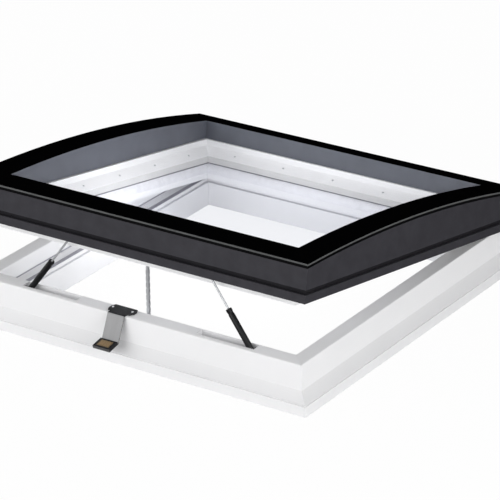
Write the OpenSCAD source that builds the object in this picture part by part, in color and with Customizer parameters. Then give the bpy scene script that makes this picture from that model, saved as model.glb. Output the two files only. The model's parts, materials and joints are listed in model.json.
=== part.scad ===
// Flat-roof skylight: a plastic upstand frame and a curved glass lid that a chain opener lifts.
// Millimetres, +Z up, +X to the right along the front, origin at the centre of the frame's bottom plane.
// Sections are drawn as [u, z]: u runs inwards from an outer face, z runs up.

/* [Frame] */
// Width of the frame across its upright lip
frame_w = 1132; // [1000:2:1400]
// Depth of the frame from front to rear across its upright lip
frame_d = 1132; // [1000:2:1400]
// Height of the frame
frame_h = 135; // [128:1:160]
// Thickness of the upright lip
lip_t = 50; // [47:1:56]
// Depth of the ledge below the top of the lip
ledge_drop = 49; // [47:1:56]
// Width of the ledge inside the lip
ledge_w = 50; // [46:1:58]
// Width of the step below the ledge
step_w = 10; // [4:1:16]
// Height of the step below the ledge
step_h = 10; // [4:1:14]
// Reach of the foot beyond the lip
foot_reach = 34; // [20:1:50]
// Height of the foot's outer face
foot_face_h = 31; // [20:1:36]
// Height of the slope from the foot up to the lip
foot_slope_h = 27; // [16:1:36]
// Height and half the depth of the shadow groove above the foot
foot_groove = 3; // [1:0.5:4]
// Wall of the frame's hollow profile
frame_wall = 3.5; // [2.5:0.5:4.5]
// Bevel along the edges of the lip
lip_bevel = 2; // [0.5:0.5:3]
// Radius of the four holes for the roof screws
bolt_hole_r = 3.5; // [2.5:0.5:4.5]
// Distance of the roof screws from the frame's sides
bolt_inset = 136; // [120:1:160]
// Distance of the roof screws from the inside of the lip
bolt_from_lip = 12; // [8:1:18]

/* [Seals] */
// Width of the soft seal on the ledge
ledge_seal_w = 14; // [8:1:15]
// Height of the ledge seal above the ledge
ledge_seal_rise = 0.5; // [0.2:0.1:1]
// Depth of the ledge seal's groove
ledge_seal_groove = 3; // [2:0.5:5]
// Distance of the ledge seal from the ledge's inner edge
ledge_seal_edge = 2; // [1:0.5:4]
// Width of the gasket at the foot of the lip
lip_gasket_w = 3; // [2:0.5:4]
// Depth of the gasket's groove below the ledge
lip_gasket_groove = 4; // [2:0.5:6]
// Height of the gasket above the ledge
lip_gasket_rise = 2; // [1:0.5:4]
// Width of the seal under the sash
sash_seal_w = 8; // [4:1:10]

/* [Lid] */
// Angle at which the lid stands open
open_angle = 10; // [4:0.5:12]
// Gap between the frame's lip and the lid's skirt
skirt_gap = 14; // [12:1:18]
// How far the skirt hangs below the top of the lip
skirt_drop = 12; // [8:0.5:16]
// Wall of the aluminium cladding
clad_wall = 3; // [2:0.5:3]
// Width of the cladding's box
clad_w = 90; // [84:1:96]
// Height of the cladding at the front and rear, with its skirt
clad_h = 99.5; // [90:0.5:115]
// Height of the skirt's plain band
band_h = 24; // [22:0.5:28]
// Depth of the cove above the band
cove_depth = 8; // [4:0.5:10]
// Height of the cove above the band
cove_h = 18; // [12:0.5:24]
// Gap between the closed lid's underside and the frame
lid_gap = 12; // [11:0.5:16]
// Thickness of the curved glass
glass_t = 6; // [4:0.5:10]
// Overhang of the curved glass beyond the cladding
glass_over = 0.4; // [0:0.1:3]
// Rise of the curved glass from its front and rear edges to its middle
glass_rise = 35.6; // [20:0.2:50]
// Height of the black seal under the curved glass
glass_seal_t = 7.7; // [4:0.1:12]
// Set-back of that seal from the cladding's face
glass_seal_inset = 6; // [3:0.5:10]
// Width of the black printed border on the glass
border_w = 88; // [60:1:90]
// Thickness of the printed border
border_t = 0.3; // [0.2:0.1:0.5]
// Film between the bonded layers under the glass
bond_gap = 0.05; // [0.02:0.01:0.1]

/* [Sash and glazing] */
// Gap between the sash and the inside of the lip
sash_gap = 5; // [3:0.5:6]
// Width of the sash profile with its glazing rest
sash_w = 66; // [58:1:76]
// Width of the sash's hollow outer part
sash_box_w = 40; // [34:1:46]
// Height of the sash's underside above the ledge
sash_clear = 2.5; // [2:0.1:4]
// Wall of the sash's hollow profile
sash_wall = 3.5; // [2.5:0.5:4.5]
// Thickness of the gaskets above and below the insulating glass
gasket_t = 3; // [2:0.5:5]
// Thickness of the lower pane
lower_pane_t = 8; // [6:0.5:10]
// Thickness of the upper pane
upper_pane_t = 4; // [3:0.5:6]
// Height of the spacer between the panes
spacer_h = 18; // [12:0.5:20]
// Width of the spacer between the panes
spacer_w = 12; // [8:0.5:14]
// Play between the panes' edges and the sash
pane_play = 3; // [2:0.5:4]
// How far the gasket shows past the bead
gasket_show = 1.5; // [0.5:0.5:3]
// Wall of the glazing bead
bead_wall = 2.5; // [2:0.5:3]
// Height of the glazing bead above the sash
bead_h = 42; // [36:1:48]
// Width of the bead's flat top
bead_top_w = 9; // [6:1:12]
// Drop and reach of the bead's steep upper facet
bead_facet = [6, 17];
// Height of the bead's plain inner edge
bead_edge_h = 7; // [5:1:10]
// Height of the bead's lower facet
bead_toe_h = 12; // [8:1:14]
// Distance between bead screws
bead_screw_pitch = 180; // [120:5:260]
// Radius of a bead screw's head
bead_screw_r = 3.2; // [2.5:0.1:4]
// Distance between cladding screws
clad_screw_pitch = 279; // [180:1:360]
// Radius of a cladding screw's head
clad_screw_r = 2.4; // [1.5:0.1:3]

/* [Hinges] */
// Distance of each hinge from the frame's sides
hinge_inset = 166; // [140:1:260]
// Length of a hinge
hinge_len = 90; // [70:1:120]
// Radius of a hinge pin
hinge_pin_r = 3; // [2:0.1:3]
// Radius of a hinge knuckle
knuckle_r = 5.5; // [5:0.1:5.6]
// Thickness of a hinge leaf
leaf_t = 3; // [2:0.5:3]
// Reach of a hinge leaf from the pin
leaf_reach = 38; // [30:1:42]
// Radial play of pins and shafts in their bores
running_play = 0.05; // [0.02:0.01:0.1]
// Gap between the knuckles of a hinge
knuckle_gap = 0.5; // [0.3:0.1:1]

/* [Gas springs] */
// Distance of each spring's foot pivot from the frame's side
spring_foot_inset = 177; // [170:1:220]
// Distance of the springs from the frame's front face
spring_inset = 29; // [27:0.5:32]
// Depth of the foot pivot below the top of the lip
spring_foot_drop = 20; // [18:0.5:24]
// Depth of the closed lid's spring pivot below the top of the lip
spring_top_drop = 10; // [8:0.5:12]
// Lean of the springs from the level when the lid is open
spring_lean = 52.7; // [48:0.1:55]
// Radius of a spring's tube
tube_r = 7.5; // [7:0.1:8]
// Wall of a spring's tube
tube_wall = 1; // [0.8:0.1:1.5]
// Radius of a spring's rod
rod_r = 3; // [2.5:0.1:4]
// Radius of the ball at the rod's end
rod_ball_r = 6; // [5:0.1:6.5]
// Radius of the eye at a spring's foot
eye_r = 7; // [6:0.1:7.5]
// Thickness of the eye
eye_t = 8; // [6:0.5:9]
// Radius of the pin through the eye
eye_pin_r = 3; // [2:0.1:4]
// Thickness of the springs' bracket plates
bracket_t = 3; // [2:0.5:4]
// Width of the pockets for the closed springs
pocket_w = 30; // [28:0.5:32]
// Depth of the pockets
pocket_depth = 35; // [31:0.5:38]
// Gap left beside the opened upper pivot
pivot_gap = 0.3; // [0.2:0.1:0.6]

/* [Chain opener] */
// Distance of the chain from the inside of the lip
chain_from_lip = 26; // [22:0.5:28]
// Width of a chain link
link_w = 8; // [6:0.5:9]
// Distance between chain pins
link_pitch = 9.5; // [8:0.5:12]
// Radius of a chain pin
link_pin_r = 1.6; // [1:0.1:2]
// Thickness of a link plate
plate_t = 1.2; // [0.8:0.1:1.4]
// Half the gap between a link's inner plates
plate_gap = 2.2; // [2:0.1:2.4]
// Gap between the chain and the cheeks beside it
chain_side_gap = 2.4; // [1:0.1:4]
// Outer size of the opener's housing: length, width, height
housing = [400, 44, 62];
// Wall of the housing
housing_wall = 2; // [1.5:0.5:3]
// Thickness of the housing's end caps
cap_t = 6; // [4:0.5:10]
// Radius of the drive sprocket
sprocket_r = 15; // [12:0.5:16]
// Teeth of the drive sprocket
sprocket_teeth = 10; // [8:1:14]
// Radius of the sprocket's shaft
shaft_r = 4; // [3:0.1:5]
// Radius of the motor
motor_r = 18; // [14:0.5:19]
// Length of the motor
motor_len = 90; // [60:1:110]
// Wall of the guide that the chain runs through
guide_wall = 2; // [1.5:0.5:3]
// Inner size of the chain guide: along the front, front to rear
guide_mouth = [18, 16];
// Radius of the cable inlet's bore
inlet_r = 4; // [3:0.5:6]
// Distance of the cable inlet from the centre line
inlet_x = 300; // [240:5:330]

/* [Rain sensor] */
// Place of the rain sensor along the front
sensor_x = -53; // [-150:1:150]
// Width of the sensor's arm
sensor_arm_w = 58; // [50:1:64]
// Width of the clamp plate over its ears
sensor_plate_w = 88; // [80:1:100]
// Depth of the clamp plate at its ears
sensor_plate_d = 39; // [34:1:42]
// Distance of the clamp plate's screws from its ends
sensor_screw_edge = 10; // [8:1:14]
// Thickness of the folded arm
sensor_sheet_t = 1.5; // [1:0.5:2]
// Thickness of the clamp plate
sensor_plate_t = 2; // [1.5:0.5:3]
// Reach of the arm's fold in front of the lip
sensor_fold_out = 4; // [2:0.5:5]
// Reach of the tray's back edge in front of the lip
sensor_tray_out = 37; // [30:1:45]
// Drop of the tray's back edge below the top of the lip
sensor_tray_drop = 70; // [55:1:80]
// Depth of the tray from back to front
sensor_tray_d = 43; // [36:1:50]
// Tilt of the tray towards the front
sensor_tilt = 11; // [5:1:20]
// Height of the sensor on its tray
sensor_body_h = 8; // [6:0.5:12]
// Width and depth of the sensor's pad
sensor_pad = [40, 26];
// Thickness of the sensor's pad
sensor_pad_t = 1; // [0.6:0.1:2]

/* [Hidden] */
$fn = 48;
arch_fn = 1440;
slack = 1;
big = 4000;
plastic_white = [0.93, 0.93, 0.93];
anthracite = [0.20, 0.20, 0.22];
black = [0.05, 0.05, 0.05];
steel = [0.62, 0.63, 0.65];
clear_glass = [0.75, 0.86, 0.88, 0.35];

// Frame section
ledge_z = frame_h - ledge_drop;
ledge_u = lip_t + ledge_w;
inner_u = ledge_u + step_w;
seal_u1 = ledge_u - ledge_seal_edge;
seal_u0 = seal_u1 - ledge_seal_w;
cell_top = ledge_z - step_h - frame_wall;

// Lid in its closed place
lid_inset = skirt_gap + clad_wall;
lid_w = frame_w + 2 * lid_inset;
lid_d = frame_d + 2 * lid_inset;
skirt_z = frame_h - skirt_drop;
band_z = skirt_z + band_h;
web_z = frame_h + lid_gap;
glass_z = skirt_z + clad_h + glass_seal_t;
arch_r = (pow(lid_d / 2, 2) + pow(glass_rise, 2)) / (2 * glass_rise);
arch_z = glass_z + glass_rise - arch_r;
seal_arch_r = arch_r - glass_seal_t;
tall_z = glass_z + glass_rise + slack;
cove_r = (pow(cove_h, 2) + pow(cove_depth, 2)) / (2 * cove_depth);
cove_steps = 6;

// Sash and glazing
sash_u0 = lid_inset + lip_t + sash_gap;
sash_u1 = sash_u0 + sash_w;
rebate_u = sash_u0 + sash_box_w;
sash_z = ledge_z + sash_clear;
rest_z = sash_z + sash_wall + slack;
lower_pane_z = rest_z + gasket_t;
spacer_z = lower_pane_z + lower_pane_t;
upper_pane_z = spacer_z + spacer_h;
upper_gasket_z = upper_pane_z + upper_pane_t;
bead_z = upper_gasket_z + gasket_t;
bead_top_z = web_z + bead_h;
bead_screw_len = 3 * bead_wall;
pane_u = rebate_u + pane_play;
gasket_u1 = sash_u1 + gasket_show;

// Hinge axis, and the lid's turn about it
hinge_x = frame_w / 2 - hinge_inset;
hinge_y = frame_d / 2;
hinge_z = frame_h + lid_gap / 2;
hinge_knuckle = hinge_len / 3;

// Gas springs, worked out for the right-hand one
spring_y = -frame_d / 2 + spring_inset;
foot_z = frame_h - spring_foot_drop;
top_z = frame_h - spring_top_drop;
foot_x = frame_w / 2 - spring_foot_inset;
spring_rise = lid_point([0, spring_y, top_z])[2] - foot_z;
spring_reach = spring_rise / tan(spring_lean);
foot_pivot = [foot_x, spring_y, foot_z];
top_closed = [foot_x - spring_reach, spring_y, top_z];
top_open = lid_point(top_closed);
len_open = norm(top_open - foot_pivot);
len_closed = norm(top_closed - foot_pivot);
stroke = len_open - len_closed;
dir_open = unit(top_open - foot_pivot);
dir_closed = unit(top_closed - foot_pivot);
pivot_axis = unit(cross(dir_closed, dir_open));
cross_axis = cross(pivot_axis, dir_open);
tube_start = eye_r + slack;
rod_show = 8;
tube_end = len_closed - rod_ball_r - rod_show;
piston_t = 6;
rod_start = tube_start + tube_wall + slack + stroke;
guide_len = 8;
pocket_play = 11;
pocket_x0 = top_closed[0] - rod_ball_r - 2 * pocket_play;
pocket_x1 = foot_x + pocket_play;
pocket_u0 = spring_inset - pocket_w / 2 + 2;
pocket_floor = frame_h - pocket_depth;
cheek_half = 8;

// Chain opener
chain_y = -frame_d / 2 + lip_t + chain_from_lip;
housing_z = frame_wall;
sprocket_z = housing_z + housing[2] / 2;
sprocket_x = -(sprocket_r + 2 * link_pin_r);
lug = [8, 6, 7];
chain_plate_t = 1.5;
chain_start = [0, chain_y, sprocket_z];
chain_top = lid_point([0, chain_y, sash_z - lug[2] - pivot_gap]);
chain_run = norm(chain_top - chain_start);
chain_lean = atan2(chain_top[1] - chain_start[1], chain_top[2] - chain_start[2]);
links = round(chain_run / link_pitch);
link_step = (chain_run - link_w) / links;
pin_end = 0.4;
cheek_y = plate_gap + 2 * plate_t + chain_side_gap;
gear_x = [22, 60];
cheek_t = 3;

// Rain sensor
sensor_y = -frame_d / 2;
fold_point = [sensor_y - sensor_fold_out, frame_h + sensor_sheet_t / 2];
tray_point = [sensor_y - sensor_tray_out, frame_h - sensor_tray_drop];
arm_end = [sensor_y + lip_t - lip_bevel, fold_point[1]];
tray_end = tray_point - sensor_tray_d * [cos(sensor_tilt), sin(sensor_tilt)];
sensor_ear = 8;
sensor_screw_x = sensor_plate_w / 2 - sensor_screw_edge;
sensor_screw_y = arm_end[0] - sensor_plate_d / 2;
sensor_screw_r = 1.8;
screw_len = 8;

// Helpers

function unit(v) = v / norm(v);

// A point of the closed lid, moved to where the open lid holds it
function lid_point(p) =
    let (y = p[1] - hinge_y, z = p[2] - hinge_z)
    [p[0], hinge_y + y * cos(open_angle) + z * sin(open_angle),
     hinge_z - y * sin(open_angle) + z * cos(open_angle)];

// Evenly spaced places along a length, centred
function places(length, pitch) =
    let (n = floor(length / pitch))
    [for (i = [0:n]) (i - n / 2) * pitch];

// Turns the lid from its closed place to its open one
module on_lid() {
    translate([0, hinge_y, hinge_z])
        rotate([-open_angle, 0, 0])
            translate([0, -hinge_y, -hinge_z])
                children();
}

// Sets what is drawn for the front on side 0 front, 1 right, 2 rear or 3 left of a w by d plan
module on_side(side, w, d) {
    rotate([0, 0, 90 * side])
        translate([0, -(side % 2 == 0 ? d : w) / 2, 0])
            children();
}

function side_length(side, w, d) = side % 2 == 0 ? w : d;

// A [u, z] section run along a side
module run(section, length) {
    rotate([90, 0, 90])
        linear_extrude(length, center = true)
            polygon(section);
}

// The plan of a side between its two mitred corners, from u = -out to u = inn
module mitre(length, out, inn) {
    half = length / 2;
    translate([0, 0, -big / 2])
        linear_extrude(big)
            polygon([[-half - out, -out], [half + out, -out], [half - inn, inn], [-half + inn, inn]]);
}

// A flat ring of plan w by d, from u0 to u1 inside that plan and from z0 to z1
module plan_ring(w, d, u0, u1, z0, z1) {
    translate([0, 0, z0])
        linear_extrude(z1 - z0)
            difference() {
                square([w - 2 * u0, d - 2 * u0], center = true);
                square([w - 2 * u1, d - 2 * u1], center = true);
            }
}

// A flat sheet of plan w by d, set in by u on all sides
module plan_sheet(w, d, u, z, t) {
    translate([0, 0, z])
        linear_extrude(t)
            square([w - 2 * u, d - 2 * u], center = true);
}

// Everything below the curved surface of radius r that the lid's glass follows
module under_arch(r) {
    translate([0, 0, arch_z])
        rotate([0, 90, 0])
            cylinder(r = r, h = big, center = true, $fn = arch_fn);
}

// The layer between two radii of that surface, over the lid only
module arch_layer(r0, r1) {
    difference() {
        under_arch(r1);
        under_arch(r0);
    }
}

module box(low, high) {
    translate(low) cube(high - low);
}

// The right-hand spring's own axes: Y along its pivot, Z along its rod, from the foot pivot
module on_spring() {
    multmatrix([
        [cross_axis[0], pivot_axis[0], dir_open[0], foot_pivot[0]],
        [cross_axis[1], pivot_axis[1], dir_open[1], foot_pivot[1]],
        [cross_axis[2], pivot_axis[2], dir_open[2], foot_pivot[2]],
        [0, 0, 0, 1]
    ]) children();
}

// A cylinder along Y from y0 to y1
module along_y(r, y0, y1) {
    translate([0, y0, 0])
        rotate([-90, 0, 0])
            cylinder(r = r, h = y1 - y0);
}

// A cylinder along X from x0 to x1
module along_x(r, x0, x1) {
    translate([x0, 0, 0])
        rotate([0, 90, 0])
            cylinder(r = r, h = x1 - x0);
}

// Frame

function frame_section() = [
    [-foot_reach, 0], [inner_u, 0],
    [inner_u, ledge_z - step_h], [ledge_u, ledge_z - step_h], [ledge_u, ledge_z],
    [seal_u1, ledge_z], [seal_u1, ledge_z - ledge_seal_groove],
    [seal_u0, ledge_z - ledge_seal_groove], [seal_u0, ledge_z],
    [lip_t + lip_gasket_w, ledge_z], [lip_t + lip_gasket_w, ledge_z - lip_gasket_groove],
    [lip_t, ledge_z - lip_gasket_groove],
    [lip_t, frame_h - lip_bevel], [lip_t - lip_bevel, frame_h], [lip_bevel, frame_h], [0, frame_h - lip_bevel],
    [0, foot_face_h + foot_slope_h],
    [-foot_reach + foot_groove, foot_face_h + foot_groove],
    [-foot_reach + 2 * foot_groove, foot_face_h], [-foot_reach, foot_face_h]
];

function lip_cell() = [
    [frame_wall, ledge_z], [lip_t - frame_wall, ledge_z],
    [lip_t - frame_wall, frame_h - frame_wall], [frame_wall, frame_h - frame_wall]
];

function outer_cell() = [
    [frame_wall, frame_wall], [lip_t - frame_wall, frame_wall],
    [lip_t - frame_wall, ledge_z - frame_wall], [frame_wall, ledge_z - frame_wall]
];

function inner_cell() = [
    [lip_t, frame_wall], [inner_u - frame_wall, frame_wall],
    [inner_u - frame_wall, cell_top], [lip_t, cell_top]
];

function foot_cell() = [
    [-foot_reach + frame_wall, frame_wall], [0, frame_wall],
    [0, foot_face_h], [-foot_reach + 2 * foot_groove + frame_wall, foot_face_h - frame_wall],
    [-foot_reach + frame_wall, foot_face_h - frame_wall]
];

// One mitred length of the hollow frame profile; children are what its upper cell leaves solid
module frame_length(side) {
    length = side_length(side, frame_w, frame_d);
    over = length + 2 * foot_reach + slack;
    intersection() {
        on_side(side, frame_w, frame_d) mitre(length, foot_reach + slack, inner_u + slack);
        difference() {
            on_side(side, frame_w, frame_d)
                difference() {
                    run(frame_section(), over);
                    run(outer_cell(), over);
                    run(inner_cell(), over);
                    run(foot_cell(), over);
                }
            difference() {
                on_side(side, frame_w, frame_d) run(lip_cell(), over);
                children();
            }
        }
    }
}

module bolt_holes() {
    for (x = [-1, 1], y = [-1, 1])
        translate([x * (frame_w / 2 - bolt_inset), y * (frame_d / 2 - lip_t - bolt_from_lip), -slack])
            cylinder(r = bolt_hole_r, h = ledge_z + 2 * slack);
}

// A pocket in the front lip that takes a closed spring, grown by a wall where one is given
module pocket(wall) {
    y0 = -frame_d / 2 + pocket_u0;
    box([pocket_x0 - wall, y0 - wall, pocket_floor - wall],
        [pocket_x1 + wall, y0 + pocket_w + wall, frame_h + slack]);
}

module both_sides() {
    children();
    mirror([1, 0, 0]) children();
}

module guide_hole() {
    size = guide_mouth + [2 * guide_wall, 2 * guide_wall];
    box([-size[0] / 2, chain_y - size[1] / 2, cell_top - slack],
        [size[0] / 2, chain_y + size[1] / 2, ledge_z + slack]);
}

module frame_front() {
    color(plastic_white)
        difference() {
            frame_length(0) both_sides() pocket(frame_wall);
            both_sides() pocket(0);
            bolt_holes();
            guide_hole();
            inlet_shape(inlet_r + frame_wall);
            sensor_screw_shafts();
        }
}

module frame_rear() {
    color(plastic_white)
        difference() {
            frame_length(2);
            bolt_holes();
            hinge_screw_shafts();
        }
}

module frame_left() {
    color(plastic_white) frame_length(3);
}

module frame_right() {
    color(plastic_white) frame_length(1);
}

module ledge_seal() {
    color([0.55, 0.55, 0.57])
        difference() {
            plan_ring(frame_w, frame_d, seal_u0, seal_u1, ledge_z - ledge_seal_groove, ledge_z + ledge_seal_rise);
            guide_hole();
        }
}

module lip_gasket() {
    color(black)
        plan_ring(frame_w, frame_d, lip_t, lip_t + lip_gasket_w,
                  ledge_z - lip_gasket_groove, ledge_z + lip_gasket_rise);
}

// Hinges, drawn about the pin's axis for the right-hand side

module at_hinge(side) {
    translate([side * hinge_x, hinge_y, hinge_z]) children();
}

module knuckle(x0, x1) {
    along_x(knuckle_r, x0, x1);
}

module pin_bore() {
    along_x(hinge_pin_r + running_play, -hinge_len, hinge_len);
}

// Room that the other leaf's knuckles turn in
module knuckle_room(x0, x1) {
    room = knuckle_r + 2;
    box([x0, -room, -room], [x1, room, room]);
}

module frame_leaf(side) {
    half = hinge_len / 2;
    mid = hinge_knuckle / 2;
    color(steel)
        difference() {
            at_hinge(side)
                difference() {
                    union() {
                        difference() {
                            box([-half, -leaf_reach, -lid_gap / 2], [half, 0, leaf_t - lid_gap / 2]);
                            knuckle_room(-mid, mid);
                        }
                        knuckle(-half, -mid - knuckle_gap);
                        knuckle(mid + knuckle_gap, half);
                    }
                    pin_bore();
                }
            hinge_screw_shafts();
        }
}

module sash_leaf(side) {
    half = hinge_len / 2;
    mid = hinge_knuckle / 2 - knuckle_gap;
    color(steel)
        on_lid()
            at_hinge(side)
                difference() {
                    union() {
                        difference() {
                            box([-half, -leaf_reach, lid_gap / 2 - leaf_t], [half, 0, lid_gap / 2]);
                            knuckle_room(-half - slack, -mid);
                            knuckle_room(mid, half + slack);
                        }
                        knuckle(-mid, mid);
                    }
                    pin_bore();
                }
}

module hinge_pins() {
    color(steel)
        for (side = [-1, 1])
            at_hinge(side) along_x(hinge_pin_r, -hinge_len / 2, hinge_len / 2);
}

module at_hinge_screws() {
    for (side = [-1, 1], x = [-1, 1])
        translate([side * hinge_x + x * hinge_len / 3, hinge_y - leaf_reach / 2, frame_h + leaf_t])
            children();
}

module hinge_screw_shafts() {
    at_hinge_screws() translate([0, 0, -screw_len]) cylinder(r = sensor_screw_r, h = screw_len);
}

module hinge_screws() {
    color(steel) {
        hinge_screw_shafts();
        at_hinge_screws() cylinder(r = 2 * sensor_screw_r, h = sensor_screw_r);
    }
}

// Gas springs

module eye() {
    color(anthracite)
        on_spring()
            difference() {
                union() {
                    along_y(eye_r, -eye_t / 2, eye_t / 2);
                    cylinder(r = eye_t / 2 - slack, h = tube_start);
                }
                along_y(eye_pin_r + running_play, -eye_t, eye_t);
            }
}

module tube() {
    color(anthracite)
        on_spring()
            difference() {
                translate([0, 0, tube_start]) cylinder(r = tube_r, h = tube_end - tube_start);
                translate([0, 0, tube_start + tube_wall])
                    cylinder(r = tube_r - tube_wall, h = tube_end - guide_len - tube_start - tube_wall);
                translate([0, 0, tube_start + tube_wall]) cylinder(r = rod_r + running_play, h = tube_end);
            }
}

module rod() {
    color(steel)
        on_spring() {
            translate([0, 0, rod_start]) cylinder(r = rod_r, h = len_open - rod_start);
            translate([0, 0, rod_start]) cylinder(r = tube_r - tube_wall - running_play, h = piston_t);
            translate([0, 0, len_open]) sphere(r = rod_ball_r);
        }
}

// A cheek on the pocket's floor, with the pin's bore
module foot_bracket() {
    cheek_y0 = eye_t / 2 + pivot_gap;
    rear = spring_y + cheek_y0;
    color(steel)
        difference() {
            union() {
                on_spring() along_y(eye_r, cheek_y0, cheek_y0 + bracket_t);
                box([foot_x - eye_r, rear + pivot_gap, pocket_floor],
                    [foot_x + eye_r, rear + bracket_t, foot_z - eye_pin_r - slack]);
                box([foot_x - eye_r, rear + pivot_gap, pocket_floor],
                    [foot_x + eye_r, -frame_d / 2 + pocket_u0 + pocket_w, pocket_floor + bracket_t]);
            }
            on_spring() along_y(eye_pin_r, -eye_t, 2 * eye_t);
        }
}

module foot_pin() {
    on_spring() along_y(eye_pin_r, -eye_t / 2, eye_t / 2 + pivot_gap + bracket_t);
}

module spring_foot_pins() {
    color(steel) both_sides() foot_pin();
}

// A cheek under the cladding that stands in front of the rod's ball
module top_bracket() {
    front = spring_y - rod_ball_r - pivot_gap;
    color(steel)
        on_lid() {
            box([top_closed[0] - cheek_half, front - bracket_t, top_z - cheek_half],
                [top_closed[0] + cheek_half, front, web_z]);
            box([top_closed[0] - cheek_half, front - bracket_t, web_z - bracket_t],
                [top_closed[0] + cheek_half, front + 2 * cheek_half, web_z]);
        }
}

// Chain opener

module opener_housing() {
    half = housing / 2;
    color(steel)
        translate([0, chain_y, housing_z])
            difference() {
                box([-half[0], -half[1], 0], [half[0], half[1], housing[2]]);
                box([-half[0] - slack, -half[1] + housing_wall, housing_wall],
                    [half[0] + slack, half[1] - housing_wall, housing[2] - housing_wall]);
                box([-guide_mouth[0] / 2, -guide_mouth[1] / 2, housing_wall],
                    [guide_mouth[0] / 2, guide_mouth[1] / 2, housing[2] + slack]);
            }
}

module opener_end_caps() {
    color(black)
        both_sides()
            translate([housing[0] / 2, chain_y - housing[1] / 2, housing_z])
                cube([cap_t, housing[1], housing[2]]);
}

module opener_motor() {
    color(anthracite)
        translate([0, chain_y, sprocket_z]) {
            along_x(motor_r, gear_x[1], gear_x[1] + motor_len);
            along_x(motor_r / 3, gear_x[1] + motor_len, gear_x[1] + motor_len + motor_r / 3);
        }
}

// Gear case with two cheeks that carry the sprocket's shaft
module opener_gearbox() {
    half_y = housing[1] / 2 - housing_wall - slack;
    half_z = housing[2] / 2 - housing_wall;
    color(anthracite)
        translate([0, chain_y, sprocket_z])
            difference() {
                union() {
                    box([gear_x[0], -half_y, -half_z], [gear_x[1], half_y, half_z]);
                    for (y = [cheek_y, -cheek_y - cheek_t])
                        box([sprocket_x - 3 * shaft_r, y, -3 * shaft_r], [gear_x[0], y + cheek_t, 3 * shaft_r]);
                }
                translate([sprocket_x, 0, 0]) along_y(shaft_r + running_play, -half_y, half_y);
            }
}

module drive_sprocket() {
    wheel_t = 2 * (plate_gap - pin_end);
    color(steel)
        translate([sprocket_x, chain_y, sprocket_z]) {
            difference() {
                along_y(sprocket_r, -wheel_t / 2, wheel_t / 2);
                for (i = [0:sprocket_teeth - 1])
                    rotate([0, 360 / sprocket_teeth * i, 0])
                        translate([sprocket_r, 0, 0])
                            along_y(sprocket_r / 5, -wheel_t, wheel_t);
            }
            along_y(shaft_r, -cheek_y - cheek_t, cheek_y + cheek_t);
        }
}

module chain_guide() {
    size = guide_mouth + [2 * guide_wall, 2 * guide_wall];
    color(black)
        translate([0, chain_y, 0])
            difference() {
                box([-size[0] / 2, -size[1] / 2, cell_top], [size[0] / 2, size[1] / 2, ledge_z]);
                box([-guide_mouth[0] / 2, -guide_mouth[1] / 2, cell_top - slack],
                    [guide_mouth[0] / 2, guide_mouth[1] / 2, ledge_z + slack]);
            }
}

// One link: two plates between pins, set wide or narrow in turn
module link(i) {
    y = plate_gap + (i % 2) * plate_t;
    for (side = [0, 1])
        mirror([0, side, 0])
            translate([-link_w / 2, y, -link_w / 2])
                cube([link_w, plate_t, link_step + link_w]);
}

module drive_chain() {
    reach = plate_gap + 2 * plate_t + pin_end;
    color(steel)
        translate(chain_start)
            rotate([-chain_lean, 0, 0])
                translate([0, 0, link_w / 2]) {
                    for (i = [0:links - 1])
                        translate([0, 0, i * link_step]) link(i);
                    for (i = [0:links])
                        translate([0, 0, i * link_step]) along_y(link_pin_r, -reach, reach);
                }
}

module chain_bracket() {
    color(steel)
        on_lid() {
            box([-2 * lug[0], chain_y - lug[1], sash_z - chain_plate_t],
                [2 * lug[0], chain_y + lug[1], sash_z]);
            box([-lug[0] / 2, chain_y - lug[1] / 2, sash_z - lug[2]],
                [lug[0] / 2, chain_y + lug[1] / 2, sash_z]);
        }
}

module inlet_shape(r) {
    translate([inlet_x, chain_y, -slack])
        cylinder(r = r, h = frame_wall + 2 * slack);
}

// Bush in the frame's floor where the supply lead comes in
module cable_inlet() {
    outer = inlet_r + frame_wall;
    color(black)
        translate([inlet_x, chain_y, 0])
            difference() {
                union() {
                    cylinder(r = outer, h = frame_wall);
                    translate([0, 0, frame_wall]) cylinder(r = outer + frame_wall, h = frame_wall);
                }
                translate([0, 0, -slack]) cylinder(r = inlet_r, h = 2 * frame_wall + 2 * slack);
            }
}

// Rain sensor

// A point of a folded line, moved off it by s with a mitre at each fold
function off_line(line, i, s) =
    let (last = len(line) - 1,
         a = unit(line[max(i, 1)] - line[max(i, 1) - 1]),
         b = unit(line[min(i, last - 1) + 1] - line[min(i, last - 1)]))
    line[i] + s / (1 + a * b) * [-a[1] - b[1], a[0] + b[0]];

// The section of a sheet of thickness t folded along a line through its middle
function folded_sheet(line, t) = concat(
    [for (i = [0:len(line) - 1]) off_line(line, i, t / 2)],
    [for (i = [len(line) - 1:-1:0]) off_line(line, i, -t / 2)]
);

// Sets the tray's axes: Y towards the front edge, Z up from the tray's middle plane
module on_tray() {
    translate([sensor_x, tray_point[0], tray_point[1]])
        rotate([sensor_tilt, 0, 0])
            children();
}

module sensor_arm() {
    color([0.60, 0.60, 0.62])
        difference() {
            union() {
                translate([sensor_x, 0, 0]) {
                    run(folded_sheet([arm_end, fold_point, tray_point, tray_end], sensor_sheet_t), sensor_arm_w);
                    box([-sensor_plate_w / 2, sensor_screw_y - sensor_ear, frame_h],
                        [sensor_plate_w / 2, sensor_screw_y + sensor_ear, frame_h + sensor_sheet_t]);
                }
            }
            sensor_screw_shafts();
        }
}

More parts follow.
